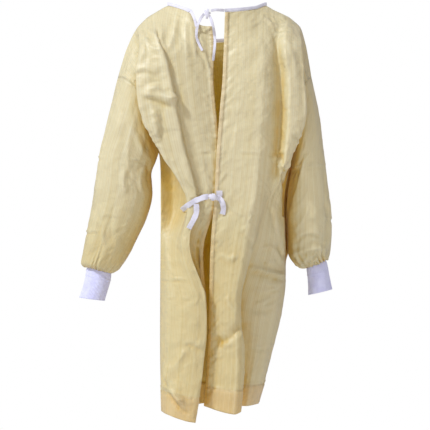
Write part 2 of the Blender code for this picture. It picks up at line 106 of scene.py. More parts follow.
def softNoise(places, seed=0.0):
    # smooth uneven values from -1 to 1, the same on every run
    places = np.asarray(places, float)
    cell = np.floor(places)
    part = places - cell
    part = part * part * (3 - 2 * part)
    size = places.shape[-1]
    total = np.zeros(places.shape[:-1])
    keys = np.array([127.1, 311.7, 74.7][:size])
    for corner in range(2 ** size):
        offset = np.array([(corner >> k) & 1 for k in range(size)])
        value = np.sin((cell + offset) @ keys + seed * 17.31) * 43758.5453
        value = (value - np.floor(value)) * 2 - 1
        weight = np.prod(np.where(offset == 1, part, 1 - part), axis=-1)
        total += value * weight
    return total


def gridNormals(grid, closed):
    if closed:
        across = np.roll(grid, -1, 1) - np.roll(grid, 1, 1)
    else:
        across = np.gradient(grid, axis=1)
    down = np.gradient(grid, axis=0)
    normals = np.cross(across, down)
    return normals / np.maximum(np.linalg.norm(normals, axis=2), 1e-12)[:, :, None]


def easeIn(value):
    value = np.clip(value, 0, 1)
    return value * value * (3 - 2 * value)


# The two back panels follow their solids, in millimetres, but the left valley is shallower
backLeft = {
    # columns: centre edge, strip, tie root, neck point, valley, crest, band edge, under band,
    # recess and side, as (x, y) at each level
    "cadSteps": (1, 2, 3, 2, 3, 3, 3, 2, 3),
    "steps": (12, 11, 14, 9, 13, 14, 15, 9, 8),
    "top": ((-13, -72), (-48, -72), (-77, -55), (-139, -5), (-172, -6), (-198, -6),
            (-224, -6), (-239, -6), (-259, -6), (-281, -6)),
    "yoke": ((-7, -86), (-45, -97), (-80, -104), (-122, -103), (-152, -105), (-160, -114),
             (-220, -90), (-204, -50), (-238, -40), (-256, -46)),
    "chest": ((-10, -98), (-45, -108), (-75, -115), (-102, -117), (-126, -120), (-134, -132),
              (-228, -116), (-198, -72), (-208, -60), (-228, -62)),
    "bust": ((-2, -104), (-35, -112), (-62, -118), (-86, -119), (-109, -123), (-117, -136),
             (-217, -122), (-178, -74), (-184, -58), (-198, -56)),
    "underarm": ((8, -104), (-22, -109), (-44, -113), (-62, -113), (-82, -117), (-90, -130),
                 (-164, -116), (-128, -62), (-140, -8), (-165, -6)),
    "waist": ((0, -104), (-15, -106), (-26, -108), (-34, -107), (-49, -109), (-58, -123),
              (-85, -120), (-80, -66), (-122, -8), (-159, -30)),
    "hip": ((-37, -96), (-48, -99), (-58, -96), (-68, -100), (-80, -108), (-76, -128),
            (-96, -124), (-112, -92), (-136, -66), (-159, -46)),
    "thigh": ((-32, -95), (-42, -98), (-52, -96), (-62, -95), (-70, -108), (-30, -134),
              (-60, -138), (-100, -126), (-138, -106), (-160, -56)),
    "knee": ((-40, -92), (-50, -94), (-58, -94), (-64, -96), (-66, -106), (-34, -136),
             (-65, -140), (-100, -134), (-138, -114), (-160, -64)),
    "hem": ((-58, -90), (-66, -93), (-72, -97), (-77, -102), (-80, -112), (-60, -142),
            (-85, -146), (-112, -140), (-140, -120), (-156, -72)),
    "heights": {
        "top": (-64, -60, -24, 0, -18, -34, -60, -84, -130, -204),
        "yoke": (-120, -120, -118, -116, -116, -118, -124, -130, -166, -211),
        "chest": (-215, -215, -214, -212, -210, -210, -214, -220, -226, -236),
        "bust": (-310, -310, -310, -308, -306, -304, -306, -314, -318, -322),
        "underarm": (-415,) * 9 + (-416,),
        "waist": (-551,) * 10,
        "hip": (-680,) * 10,
        "thigh": (-835,) * 10,
        "knee": (-990,) * 10,
        "hem": (-1136, -1138, -1140, -1142, -1146, -1172, -1168, -1160, -1150, -1144),
    },
}

backRight = {
    # columns: centre edge, centre, middle, neck point, lip, valley, drape, drape edge, under
    # and side, as (x, y) at each level
    "cadSteps": (2, 2, 1, 2, 3, 3, 3, 2, 3),
    "steps": (18, 14, 10, 7, 11, 11, 13, 10, 8),
    "top": ((22, -80), (70, -64), (112, -34), (139, -5), (160, -6), (182, -6),
            (206, -6), (237, -6), (253, -6), (268, -6)),
    "yoke": ((19, -98), (70, -105), (112, -102), (134, -99), (150, -94), (170, -80),
             (192, -102), (241, -86), (228, -46), (256, -42)),
    "chest": ((15, -112), (68, -120), (108, -122), (130, -122), (152, -112), (178, -90),
              (202, -117), (246, -104), (220, -60), (240, -58)),
    "bust": ((7, -119), (62, -126), (103, -128), (126, -127), (150, -115), (178, -88),
             (202, -119), (251, -106), (212, -60), (224, -54)),
    "underarm": ((-2, -119), (52, -125), (93, -127), (119, -126), (141, -112), (166, -82),
                 (188, -104), (210, -86), (190, -40), (207, -6)),
    "waist": ((-8, -113), (42, -118), (80, -121), (106, -120), (128, -104), (142, -78),
              (158, -56), (176, -38), (190, -16), (192, 12)),
    "hip": ((-18, -110), (22, -116), (54, -120), (80, -118), (102, -104), (106, -76),
            (138, -58), (168, -46), (188, -20), (194, 10)),
    "thigh": ((-22, -110), (8, -118), (32, -125), (52, -126), (69, -110), (48, -70),
              (92, -50), (134, -44), (170, -26), (189, 4)),
    "knee": ((-27, -108), (6, -118), (34, -127), (58, -130), (79, -114), (50, -64),
             (80, -44), (110, -40), (138, -20), (154, 8)),
    "hem": ((-36, -104), (-6, -118), (24, -130), (50, -134), (67, -118), (40, -62),
            (64, -32), (86, -32), (103, -12), (117, 12)),
    "heights": {
        "top": (-25, -20, -12, 0, -12, -22, -34, -62, -116, -205),
        "yoke": (-120, -120, -118, -116, -116, -116, -118, -126, -142, -211),
        "chest": (-215, -215, -214, -212, -212, -210, -212, -214, -226, -237),
        "bust": (-312, -312, -312, -312, -312, -312, -314, -324, -326, -330),
        "underarm": (-430, -432, -434, -436, -438, -444, -456, -442, -448, -452),
        "waist": (-551,) * 10,
        "hip": (-680,) * 10,
        "thigh": (-835,) * 10,
        "knee": (-990,) * 10,
        "hem": (-1128, -1138, -1146, -1150, -1142, -1136, -1134, -1134, -1132, -1130),
    },
}


def backGrid(sizes):
    rows = []
    for level in levels:
        row = [(x, y, z) for (x, y), z in zip(sizes[level], sizes["heights"][level])]
        rows.append(np.array(row) * mm)
    rows = np.array(rows).swapaxes(0, 1)
    taut = woven["taut"] * straightThrough(rows, sizes["steps"])
    wide = taut + (1 - woven["taut"]) * smoothThrough(rows, sizes["steps"])
    for _ in range(2):
        wide[1:-1] = (wide[:-2] + 2 * wide[1:-1] + wide[2:]) / 4
    return smoothThrough(wide.swapaxes(0, 1), downSteps)


leftGrid = backGrid(backLeft)
rightGrid = backGrid(backRight)
leftPlaces = placesAlong(backLeft["cadSteps"], backLeft["steps"])
rightPlaces = placesAlong(backRight["cadSteps"], backRight["steps"])
rowPlaces = placesAlong(cadRows, downSteps)
print("back panels shaped", leftGrid.shape, rightGrid.shape)

# The front panel, in metres, with its depth at each level and its folds in millimetres
frontSizes = {
    "neckHalfWidth": 0.139,
    "neckReach": 0.088,
    "neckDrop": 0.098,
    "neckSteps": 46,
    "cadNeckSteps": 10,
    "cadShoulderSteps": 16,
    "depths": {"underarm": 124, "waist": 128, "hip": 132, "thigh": 138, "knee": 146, "hem": 152},
    # place at the top and at the hem as a share of the way round, first row of the solid, height
    # in millimetres, and width as a share
    "folds": (
        (0.22, 0.30, 1, 24, 0.050),
        (0.33, 0.39, 4, -18, 0.036),
        (0.43, 0.50, 9, 16, 0.044),
        (0.57, 0.60, 8, -17, 0.040),
        (0.68, 0.71, 4, 20, 0.042),
        (0.80, 0.83, 1, -20, 0.038),
        (0.12, 0.17, 8, -20, 0.036),
        (0.90, 0.92, 9, 17, 0.034),
    ),
}


def frontGrid():
    sizes = frontSizes
    neckLeft = sum(backLeft["steps"][:3])
    neckRight = sum(backRight["steps"][:3])
    leftShoulder, rightShoulder = leftGrid[0, neckLeft:][::-1], rightGrid[0, neckRight:]
    shoulderCad = sizes["cadShoulderSteps"]
    turn = np.linspace(0, math.pi, sizes["neckSteps"] + 1)
    dip = np.sin(turn).clip(0)
    neckline = np.stack([
        -sizes["neckHalfWidth"] * np.cos(turn),
        -0.005 + sizes["neckReach"] * dip ** 0.8,
        -sizes["neckDrop"] * dip ** 1.25,
    ], axis=1)
    top = np.concatenate([leftShoulder, neckline[1:-1], rightShoulder])
    fromNeckLeft = leftPlaces[neckLeft:] - leftPlaces[neckLeft]
    fromNeckRight = rightPlaces[neckRight:] - rightPlaces[neckRight]
    columns = np.concatenate([
        shoulderCad - fromNeckLeft[::-1],
        shoulderCad + sizes["cadNeckSteps"] * turn[1:-1] / math.pi,
        shoulderCad + sizes["cadNeckSteps"] + fromNeckRight,
    ])
    places = columns / columns[-1]
    leftSide, rightSide = leftGrid[:, -1].copy(), rightGrid[:, -1].copy()
    above = slice(0, armholeSteps)
    mirror = np.array([1, -1, 1])
    leftSide[above] = leftGrid[above, -1] * mirror + (0, 2 * leftGrid[0, -1, 1], 0)
    rightSide[above] = rightGrid[above, -1] * mirror + (0, 2 * rightGrid[0, -1, 1], 0)
    named = dict(zip(levels, np.cumsum((0,) + cadRows)))
    depths = np.interp(rowPlaces, [named[k] for k in sizes["depths"]], list(sizes["depths"].values()))
    angle = math.pi * places
    spread = -np.sign(np.cos(angle)) * np.abs(np.cos(angle)) ** 0.9
    bulge = np.sin(angle).clip(0) ** 0.72
    grid = np.zeros((len(rowPlaces), len(top), 3))
    for row in range(armholeSteps, len(rowPlaces)):
        middle, half = (leftSide[row] + rightSide[row]) / 2, (rightSide[row] - leftSide[row]) / 2
        grid[row] = middle + half * spread[:, None]
        grid[row, :, 1] += depths[row] * mm * bulge
    underarm = grid[armholeSteps]
    fromLeft = np.clip(1 - columns / (shoulderCad * 0.6), 0, 1)[:, None] ** 2
    fromRight = np.clip(1 - (columns[-1] - columns) / (shoulderCad * 0.6), 0, 1)[:, None] ** 2
    for row in range(1, armholeSteps):
        t = rowPlaces[row] / armholeRow
        line = top + (underarm - top) * t
        line[:, 1] = top[:, 1] + (underarm[:, 1] - top[:, 1]) * math.sin(t * math.pi / 2) ** 0.8
        line = (line + fromLeft * (leftSide[row] - line[0])
                + fromRight * (rightSide[row] - line[-1]))
        grid[row] = line
    grid[0] = top
    outward = np.stack([-np.cos(angle) * 0.7, np.sin(angle), 0 * places], 1)
    edge = np.sin(angle).clip(0) ** 0.3
    cadCount = sum(cadRows) + 1
    for high, low, first, height, width in sizes["folds"]:
        centre = high + (low - high) * rowPlaces / cadCount
        rise = np.clip((rowPlaces - first + 1) / 6, 0, 1)
        bump = np.exp(-(((places - centre[:, None]) / width) ** 2)) * edge
        grid += outward * (height * mm * rise[:, None] * bump)[:, :, None]
    return grid, columns


frontPanelGrid, frontColumns = frontGrid()
rightGrid = rightGrid[:, ::-1]
rightPlaces = rightPlaces[::-1]
print("front panel shaped", frontPanelGrid.shape)

# The sleeves: x and z of the outer side and of the inner side, half the depth, and how far
# each ring stands forward, in millimetres
sleeveLeft = {
    "rings": (
        (-309, -318, -174, -442, 66, 0),
        (-332, -415, -186, -474, 65, 2),
        (-346, -500, -184, -542, 64, 6),
        (-357, -572, -200, -602, 62, 12),
        (-370, -640, -228, -662, 57, 18),
        (-382, -702, -256, -716, 50, 24),
        (-386, -734, -280, -748, 42, 27),
        (-370, -742, -301, -760, 27, 28),
    ),
    "towardBack": -1,
}
sleeveRight = {
    "rings": (
        (292, -322, 211, -464, 64, 2),
        (301, -400, 208, -482, 62, 6),
        (313, -490, 202, -522, 60, 14),
        (322, -570, 198, -586, 58, 22),
        (324, -640, 200, -652, 54, 30),
        (321, -694, 204, -708, 48, 36),
        (316, -716, 230, -740, 40, 38),
        (311, -722, 256, -745, 27, 39),
    ),
    "towardBack": 1,
}
ringSteps = (14, 20, 18, 16, 16, 16, 9, 6)
# The cuffs go on from the last ring of a sleeve with rings of their own; the rest is in metres
cuffs = {
    "left": ((-377, -780, -308, -795, 29, 29), (-392, -829, -321, -838, 30, 30)),
    "right": ((319, -762, 260, -782, 29, 40), (328, -806, 262, -822, 30, 41)),
    "around": 360,
    "ribs": 60,
    "ribHeight": 0.00035,
    "wall": 0.0014,
    "steps": (20, 18),
}


def sleeveRing(ring, turn, towardBack):
    outerX, outerZ, innerX, innerZ, depth, forward = (value * mm for value in ring)
    inner = np.array([innerX, forward, innerZ])
    outer = np.array([outerX, forward, outerZ])
    middle = (inner + outer) / 2
    across = np.cos(turn)[:, None] * (inner - middle)
    sideways = np.sin(turn)[:, None] * np.array([0, depth * towardBack, 0])
    return middle + across + sideways


def sleeveGrid(armhole, turn, sizes):
    control = [armhole] + [sleeveRing(ring, turn, sizes["towardBack"]) for ring in sizes["rings"]]
    return smoothThrough(np.array(control), ringSteps)


rows = slice(0, armholeSteps + 1)
half = math.pi * rowPlaces[rows] / armholeRow
leftArmhole = np.concatenate([leftGrid[rows, -1][::-1], frontPanelGrid[rows, 0][1:-1]])
rightArmhole = np.concatenate([frontPanelGrid[rows, -1][::-1], rightGrid[rows, 0][1:-1]])
aroundTurn = np.concatenate([math.pi - half[::-1], math.pi + half[1:-1]])
leftSleeveGrid = sleeveGrid(leftArmhole, aroundTurn, sleeveLeft)
rightSleeveGrid = sleeveGrid(rightArmhole, aroundTurn, sleeveRight)
cuffTurn = np.linspace(0, 2 * math.pi, cuffs["around"], endpoint=False)


def cuffGrid(sleeveSizes, rings):
    control = [sleeveRing(sleeveSizes["rings"][-1], cuffTurn, sleeveSizes["towardBack"])]
    control += [sleeveRing(ring, cuffTurn, sleeveSizes["towardBack"]) for ring in rings]
    return smoothThrough(np.array(control), cuffs["steps"])


leftCuffGrid = cuffGrid(sleeveLeft, cuffs["left"])
rightCuffGrid = cuffGrid(sleeveRight, cuffs["right"])
print("sleeves and cuffs shaped", leftSleeveGrid.shape, leftCuffGrid.shape)


# Folds and creases pressed into the cloth: a width, a height and a path of x and z, in
# millimetres. A height over zero stands out. A ridge is the same on both sides, a ledge is
# raised on the left of its path and falls away on the right, and a flap has one longer slope.
def crease(shape, width, height, path, right):
    return {"shape": shape, "width": width, "height": height, "path": path, "right": right}


def ridge(width, height, *path):
    return crease("ridge", width, height, path, False)


def ledge(width, height, *path, right=False):
    return crease("ledge", width, height, path, right)


def flap(width, height, *path, right=False):
    return crease("flap", width, height, path, right)


leftCreases = (
    # the drape from the neck to the underarm, and the dark crease beside it
    ledge(10, 5.0, (-158, -62), (-146, -134), (-124, -208), (-106, -296), (-98, -382), (-79, -450),
          (-52, -528), right=True),
    ridge(9, 4.5, (-110, -30), (-123, -92), (-139, -136)),
    ridge(6, -4.0, (-168, -62), (-162, -100), (-140, -148)),
    ridge(8, 3.6, (-206, -88), (-176, -130), (-148, -130)),
    ridge(8, 3.6, (-218, -92), (-206, -134), (-222, -172)),
    ridge(8, -3.4, (-212, -64), (-190, -96), (-176, -110)),
    # the pinched folds over the shoulder blade
    ridge(9, 9.0, (-192, -246), (-168, -240), (-150, -262), (-120, -272), (-110, -284)),
    ledge(9, 8.0, (-212, -262), (-178, -266), (-148, -280), (-112, -292)),
    ledge(6, 5.0, (-216, -318), (-196, -352), (-178, -366)),
    ledge(8, 6.0, (-236, -202), (-206, -190), (-162, -206)),
    ledge(9, 9.0, (-172, -288), (-162, -330), (-160, -390), right=True),
    ridge(6, -3.2, (-196, -284), (-190, -304), (-176, -336)),
    ridge(7, 3.2, (-214, -282), (-204, -310), (-190, -340)),
    # underarm wrinkles
    ridge(5, 3.2, (-190, -380), (-172, -388), (-156, -376)),
    ridge(5, 3.2, (-180, -396), (-164, -402), (-144, -408)),
    ridge(5, -2.8, (-184, -358), (-176, -376), (-166, -396)),
    ridge(5, 2.6, (-160, -404), (-146, -424), (-132, -448)),
    # the band that the waist tie pulls
    ridge(7, 2.6, (-130, -430), (-112, -478), (-92, -520), (-66, -548)),
    ridge(6, -2.4, (-112, -420), (-96, -470), (-72, -516), (-44, -540)),
    ridge(5, 2.2, (-86, -486), (-62, -520), (-34, -538)),
    # light gathers between the neck and the tie
    ridge(6, 2.4, (-72, -56), (-64, -110), (-58, -160)),
    ridge(7, 2.0, (-92, -40), (-88, -96), (-84, -150)),
    ridge(6, 2.2, (-54, -70), (-40, -120), (-26, -170), (-16, -230)),
    ridge(6, -1.8, (-64, -130), (-44, -148), (-30, -176)),
    # the lower panel
    ridge(9, 2.4, (-150, -640), (-142, -700), (-134, -760)),
    ridge(6, 2.6, (-74, -660), (-60, -730), (-42, -790), (-28, -850)),
    ledge(9, 3.6, (-96, -960), (-76, -952), (-52, -962), (-34, -972)),
    ridge(8, 3.0, (-120, -1030), (-100, -990), (-84, -962)),
    ledge(8, 9.0, (-156, -994), (-142, -1056), (-112, -1112), (-84, -1146)),
    ridge(6, 7.0, (-160, -1064), (-138, -1080), (-112, -1100), (-80, -1122)),
    ridge(6, -2.8, (-118, -1118), (-96, -1136), (-70, -1150)),
)
rightCreases = (
    # creases that run from the neck point to the sleeve
    ledge(6, 3.0, (122, -26), (146, -46), (172, -56), (204, -46), right=True),
    ridge(5, 2.0, (136, -18), (170, -28), (202, -38)),
    ridge(6, 2.4, (134, -30), (160, -62), (184, -68), (206, -56)),
    ridge(5, 2.0, (156, -92), (176, -84), (196, -78)),
    ridge(7, -2.0, (148, -64), (162, -100), (172, -150)),
    ridge(7, 2.4, (240, -120), (246, -180), (248, -240), (248, -320)),
    ridge(10, 2.4, (196, -100), (214, -160), (222, -230)),
    # the V where the drape ends under the arm
    ledge(6, 6.5, (166, -420), (180, -450), (193, -468), right=True),
    ledge(6, 6.5, (193, -468), (214, -440), (232, -404), right=True),
    ridge(5, 3.6, (214, -382), (232, -394), (246, -392)),
    ridge(5, -2.6, (206, -366), (222, -380), (240, -384)),
    ridge(5, 2.6, (226, -350), (238, -374), (246, -380)),
    ridge(5, 2.6, (210, -404), (222, -414), (236, -410)),
    # folds from the waist tie
    ridge(7, 2.6, (2, -536), (26, -560), (52, -584), (84, -600)),
    ridge(5, 2.6, (84, -590), (96, -598), (84, -614)),
    ridge(6, 2.2, (-2, -524), (10, -500), (26, -470)),
    ridge(8, 3.0, (8, -700), (34, -716), (66, -704)),
    ridge(9, -2.4, (58, -640), (84, -660), (106, -690)),
    ledge(7, 3.4, (150, -552), (170, -640), (186, -700), (196, -742)),
    ridge(7, 3.6, (116, -694), (150, -684), (176, -712), (196, -746)),
    ridge(7, 7.0, (82, -740), (118, -746), (152, -756), (200, -768)),
    ledge(7, 7.0, (84, -750), (118, -756), (152, -766), (200, -778)),
    ledge(6, 3.6, (92, -796), (122, -816), (158, -806), (190, -790)),
    ridge(6, 3.0, (104, -846), (136, -838), (158, -822)),
    ledge(5, 3.2, (124, -716), (142, -730), (168, -728)),
    ridge(7, 2.6, (112, -856), (150, -850), (186, -826)),
    ridge(6, 2.4, (178, -790), (160, -800), (150, -806)),
    ridge(8, -2.0, (96, -870), (130, -862), (160, -872)),
    # the turned flap at the knee
    flap(17, -9.5, (80, -892), (54, -920), (24, -944), (-22, -958), right=True),
    ridge(7, 2.8, (-8, -946), (18, -958), (44, -946)),
    ridge(5, 2.0, (-16, -984), (0, -990), (16, -986)),
    ridge(8, 2.4, (24, -818), (40, -850), (64, -870)),
)
leftSleeveCreases = (
    ridge(9, 2.8, (-300, -250), (-318, -360), (-338, -470), (-352, -580)),
    ridge(10, 2.6, (-236, -330), (-250, -400), (-250, -480)),
    ridge(7, 2.6, (-208, -430), (-222, -380), (-250, -340)),
    ridge(7, 2.8, (-206, -452), (-216, -500), (-206, -540)),
    ridge(6, -2.2, (-192, -432), (-196, -480), (-192, -524)),
    ridge(9, 2.6, (-256, -462), (-264, -500), (-252, -536)),
    ridge(8, 2.6, (-340, -590), (-346, -650), (-366, -710)),
    ridge(11, -2.6, (-290, -560), (-300, -620), (-296, -690)),
    ridge(8, 3.0, (-330, -560), (-322, -620), (-320, -690)),
)
rightSleeveCreases = (
    ridge(9, 2.4, (262, -240), (274, -320), (288, -420)),
    ridge(7, 3.0, (236, -480), (246, -440), (262, -420)),
    ledge(6, 4.6, (218, -664), (250, -648), (298, -652)),
    ridge(8, 7.0, (206, -712), (236, -698), (268, -690), (312, -694)),
    ridge(5, 4.5, (232, -744), (250, -724), (262, -704)),
    ridge(5, -4.0, (252, -748), (270, -722), (290, -706)),
    ridge(5, 4.0, (276, -744), (296, -722), (314, -708)),
    ridge(10, 2.2, (212, -640), (236, -620), (262, -560)),
    ledge(7, 5.0, (308, -540), (318, -600), (316, -650), (306, -700)),
    ridge(4, 3.0, (322, -520), (328, -540), (318, -560)),
    ridge(9, -2.2, (300, -450), (306, -520), (304, -600)),
)
# Hollows with a crisp edge, under the end of the right drape and on the sleeve beside it:
# outlines of x and z, with how deep and how wide their edges are, in millimetres
pockets = {
    "back_right": {"outline": ((174, -436), (193, -471), (247, -396), (266, -420), (232, -474), (204, -520),
                               (196, -600), (184, -600), (184, -520), (176, -476)), "deep": 8, "edge": 6},
    "sleeve_right": {"outline": ((190, -462), (236, -468), (226, -512), (206, -578), (197, -650),
                                 (186, -650)), "deep": 6, "edge": 6},
}
# Creases left by folding the gown away: a height in millimetres, where each starts and ends
# across the panel, from 0 to 1, and how much it slants, in millimetres
storageCreases = {
    "back_left": ((-416, 0.02, 0.46, -4), (-548, 0.2, 0.6, 6), (-772, 0.52, 0.98, -8), (-826, 0.66, 0.9, 4)),
    "back_right": ((-418, 0.10, 0.98, 4), (-290, 0.3, 0.62, -4), (-790, 0.60, 1.0, 2), (-968, 0.62, 1.0, 3)),
    "front_panel": ((-300, 0.15, 0.85, 6), (-420, 0.05, 0.95, -5), (-600, 0.1, 0.7, 8),
                    (-786, 0.05, 0.95, 5), (-960, 0.3, 0.9, -6)),
    "sleeve_left": ((-440, 0.1, 0.95, 26), (-640, 0.3, 0.8, 10)),
    "sleeve_right": ((-440, 0.1, 0.95, -20), (-600, 0.2, 0.7, -8)),
}
frontCreases = (
    # the bulge that fills out the side beside the right sleeve
    ridge(32, 27.0, (188, -400), (192, -480), (194, -560), (194, -640), (188, -740)),
    # folds of the hidden front
    ridge(12, 4.0, (-118, -40), (-90, -120), (-76, -210), (-60, -330)),
    ridge(12, -4.0, (118, -40), (84, -130), (66, -230), (58, -360)),
    ridge(11, 3.0, (-20, -104), (-24, -200), (-12, -320)),
    ledge(10, 2.6, (44, -100), (30, -190), (36, -300)),
    ledge(11, 4.2, (-160, -140), (-140, -230), (-160, -330)),
    ledge(11, 4.2, (170, -120), (150, -220), (176, -340)),
    ridge(8, 3.0, (-196, -330), (-150, -380), (-96, -420)),
    ridge(8, -2.8, (-190, -380), (-150, -410), (-110, -470)),
    ridge(8, 3.2, (200, -350), (150, -400), (110, -460)),
    ridge(8, -2.6, (190, -420), (160, -450), (120, -520)),
    ridge(12, 3.4, (-60, -560), (-50, -640), (-66, -740)),
    ledge(12, 3.4, (70, -540), (60, -650), (80, -760)),
    ridge(11, -3.2, (-110, -620), (-96, -720), (-104, -860)),
    ridge(12, 3.4, (10, -700), (24, -820), (8, -960)),
    ledge(11, 3.2, (-40, -900), (-30, -1000), (-46, -1100)),
    ridge(11, -3.2, (90, -880), (80, -980), (92, -1080)),
)


def creaseField(flat, creases):
    # how far each point of a grid is pushed out; flat is x and z in millimetres
    height = np.zeros(flat.shape[:2])
    for index, fold in enumerate(creases):
        points = np.array(fold["path"], float)
        path = smoothThrough(points, [6] * (len(points) - 1))
        width, tall = fold["width"], fold["height"]
        reach = 4.5 * width
        near = (flat > path.min(axis=0) - reach).all(axis=-1)
        near &= (flat < path.max(axis=0) + reach).all(axis=-1)
        if not near.any():
            continue
        where = flat[near]
        lengths = np.linalg.norm(np.diff(path, axis=0), axis=1)
        reached = np.concatenate([[0], np.cumsum(lengths)]) / lengths.sum()
        best = np.full(len(where), 1e9)
        along, side = np.zeros(len(where)), np.zeros(len(where))
        for i in range(len(path) - 1):
            run = path[i + 1] - path[i]
            t = np.clip(((where - path[i]) @ run) / (run @ run), 0, 1)
            away = where - (path[i] + t[:, None] * run)
            distance = np.linalg.norm(away, axis=1)
            closer = distance < best
            best = np.where(closer, distance, best)
            along = np.where(closer, reached[i] + t * (reached[i + 1] - reached[i]), along)
            side = np.where(closer, run[0] * away[:, 1] - run[1] * away[:, 0], side)
        uneven = softNoise(along[:, None] * 5, seed=index * 3.7 + width)
        w = width * (1 + 0.3 * uneven)
        ends = easeIn(along / 0.22) * easeIn((1 - along) / 0.22)
        signed = np.where(side >= 0, -best, best) * (-1 if fold["right"] else 1)
        if fold["shape"] == "ledge":
            rise = 1 / (1 + np.exp(np.clip(signed / (0.16 * w), -30, 30)))
            form = rise * np.exp(-((best / (2.6 * w)) ** 2))
            form -= 0.45 * np.exp(-(((signed - 0.9 * w) / (0.7 * w)) ** 2))
        elif fold["shape"] == "flap":
            form = np.clip(1 - best / np.where(signed < 0, 1.7 * w, 1.1 * w), 0, 1) ** 1.3
        else:
            form = 0.55 * np.exp(-best / (0.5 * w)) + 0.45 * np.exp(-((best / (0.75 * w)) ** 2))
            form -= 0.35 * np.exp(-(((best - 1.6 * w) / (0.8 * w)) ** 2))
        patchy = 0.85 + 0.3 * softNoise(along[:, None] * 9, seed=index + 0.5)
        height[near] += woven["crisp"] * tall * form * ends * patchy
    return height


def pocketField(flat, outline, edge):
    # 1 well inside the outline, 0 outside it
    inside = np.zeros(flat.shape[:2], bool)
    nearest = np.full(flat.shape[:2], 1e9)
    corners = np.array(outline, float)
    for first, last in zip(corners, np.roll(corners, -1, 0)):
        run = last - first
        t = np.clip(((flat - first) @ run) / (run @ run), 0, 1)
        nearest = np.minimum(nearest, np.linalg.norm(flat - (first + t[..., None] * run), axis=-1))
        crosses = (first[1] > flat[..., 1]) != (last[1] > flat[..., 1])
        rise = run[1] if abs(run[1]) > 1e-9 else 1e-9
        inside ^= crosses & (flat[..., 0] < first[0] + (flat[..., 1] - first[1]) * run[0] / rise)
    return np.where(inside, easeIn(nearest / edge), 0.0)


def storageField(grid, places, creases):
    height = np.zeros(grid.shape[:2])
    x, z = grid[..., 0] / mm, grid[..., 2] / mm
    share = (places / places.max())[None, :] * np.ones_like(z)
    for index, (level, start, end, slant) in enumerate(creases):
        wander = 2.2 * softNoise(np.stack([x * 0.03, z * 0], -1), seed=index + 4.2)
        distance = z - level - slant * (share - start) - wander
        inside = easeIn((share - start) / 0.05) * easeIn((end - share) / 0.05)
        patchy = np.clip(0.6 + 0.9 * softNoise(np.stack([x * 0.045, z * 0], -1), seed=index + 9.1), 0, 1)
        line = np.exp(-np.abs(distance) / 3.0) - 0.55 * np.exp(-(((distance + 7) / 5) ** 2))
        height += 3.8 * inside * patchy * line
    return height


def crumple(cut, strength):
    # small uneven wrinkles of thin cloth that was folded and worn, in millimetres
    u, v = cut[..., 0], cut[..., 1]
    drift = softNoise(np.stack([u * 5, v * 4], -1), 2.0)
    slope = softNoise(np.stack([u * 9 + 2.0 * drift, v * 6], -1), 7.0)
    long = softNoise(np.stack([u * 34 + slope * 2.2, v * 9 + drift], -1), 11.0)
    cross = softNoise(np.stack([u * 16 - v * 12, v * 22 + u * 14 + drift], -1), 13.0)
    fine = softNoise(np.stack([u * 70 + slope, v * 40 - slope], -1), 17.0)
    keen = (1 - np.abs(cross)) ** 3 - 0.4
    second = softNoise(np.stack([u * 30 + v * 17 + slope, v * 34 - u * 21], -1), 15.0)
    small = (1 - np.abs(second)) ** 3 - 0.4
    patches = 0.5 + 0.5 * softNoise(np.stack([u * 7, v * 5], -1), 19.0)
    others = 0.5 + 0.5 * softNoise(np.stack([u * 9, v * 8], -1), 21.0)
    return strength * (0.75 * long + 1.7 * keen * patches + 0.9 * small * others + 0.22 * fine)


print("creases placed")

# The woven panels
panels = {
    "back_left": {"grid": leftGrid, "closed": False, "creases": leftCreases, "crumple": 1.2, "seed": 1,
                  "places": leftPlaces},
    "back_right": {"grid": rightGrid, "closed": False, "creases": rightCreases, "crumple": 1.2, "seed": 2,
                   "places": rightPlaces},
    "front_panel": {"grid": frontPanelGrid, "closed": False, "creases": frontCreases, "crumple": 1.0,
                    "seed": 3, "places": frontColumns},
    "sleeve_left": {"grid": leftSleeveGrid, "closed": True, "creases": leftSleeveCreases, "crumple": 0.8,
                    "seed": 4, "places": np.arange(leftSleeveGrid.shape[1]) * 1.0},
    "sleeve_right": {"grid": rightSleeveGrid, "closed": True, "creases": rightSleeveCreases, "crumple": 0.8,
                     "seed": 5, "places": np.arange(rightSleeveGrid.shape[1]) * 1.0},
}


def cutPlaces(grid, closed, start):
    # where each point lies on the flat cut piece, in metres: across from the start column, and down
    steps = np.linalg.norm(np.diff(grid, axis=1), axis=2)
    across = np.concatenate([np.zeros((len(grid), 1)), np.cumsum(steps, axis=1)], axis=1)
    across -= across[:, [start]]
    down = np.linalg.norm(np.diff(grid, axis=0), axis=2).mean(axis=1)
    down = np.concatenate([[0], np.cumsum(down)])
    return np.stack([across, np.broadcast_to(down[:, None], across.shape)], axis=-1)


def shareNormals():
    # equal normals where two panels meet, so that their edges stay together
    total = {}
    for panel in panels.values():
        panel["normals"] = gridNormals(panel["grid"], panel["closed"])
    borders = []
    for name, panel in panels.items():
        rowCount, columnCount = panel["grid"].shape[:2]
        spots = [(0, c) for c in range(columnCount)]
        if not panel["closed"]:
            spots += [(r, c) for r in range(1, rowCount) for c in (0, columnCount - 1)]
        for r, c in spots:
            key = tuple(np.round(panel["grid"][r, c] * 1e5).astype(int))
            total.setdefault(key, []).append(panel["normals"][r, c])
            borders.append((panel, r, c, key))
    for panel, r, c, key in borders:
        mean = np.sum(total[key], axis=0)
        panel["normals"][r, c] = mean / max(np.linalg.norm(mean), 1e-9)


def blurred(values, times, closed):
    for _ in range(times):
        values = values.copy()
        values[1:-1] = (values[:-2] + 2 * values[1:-1] + values[2:]) / 4
        if closed:
            values = (np.roll(values, 1, 1) + 2 * values + np.roll(values, -1, 1)) / 4
        else:
            values[:, 1:-1] = (values[:, :-2] + 2 * values[:, 1:-1] + values[:, 2:]) / 4
    return values


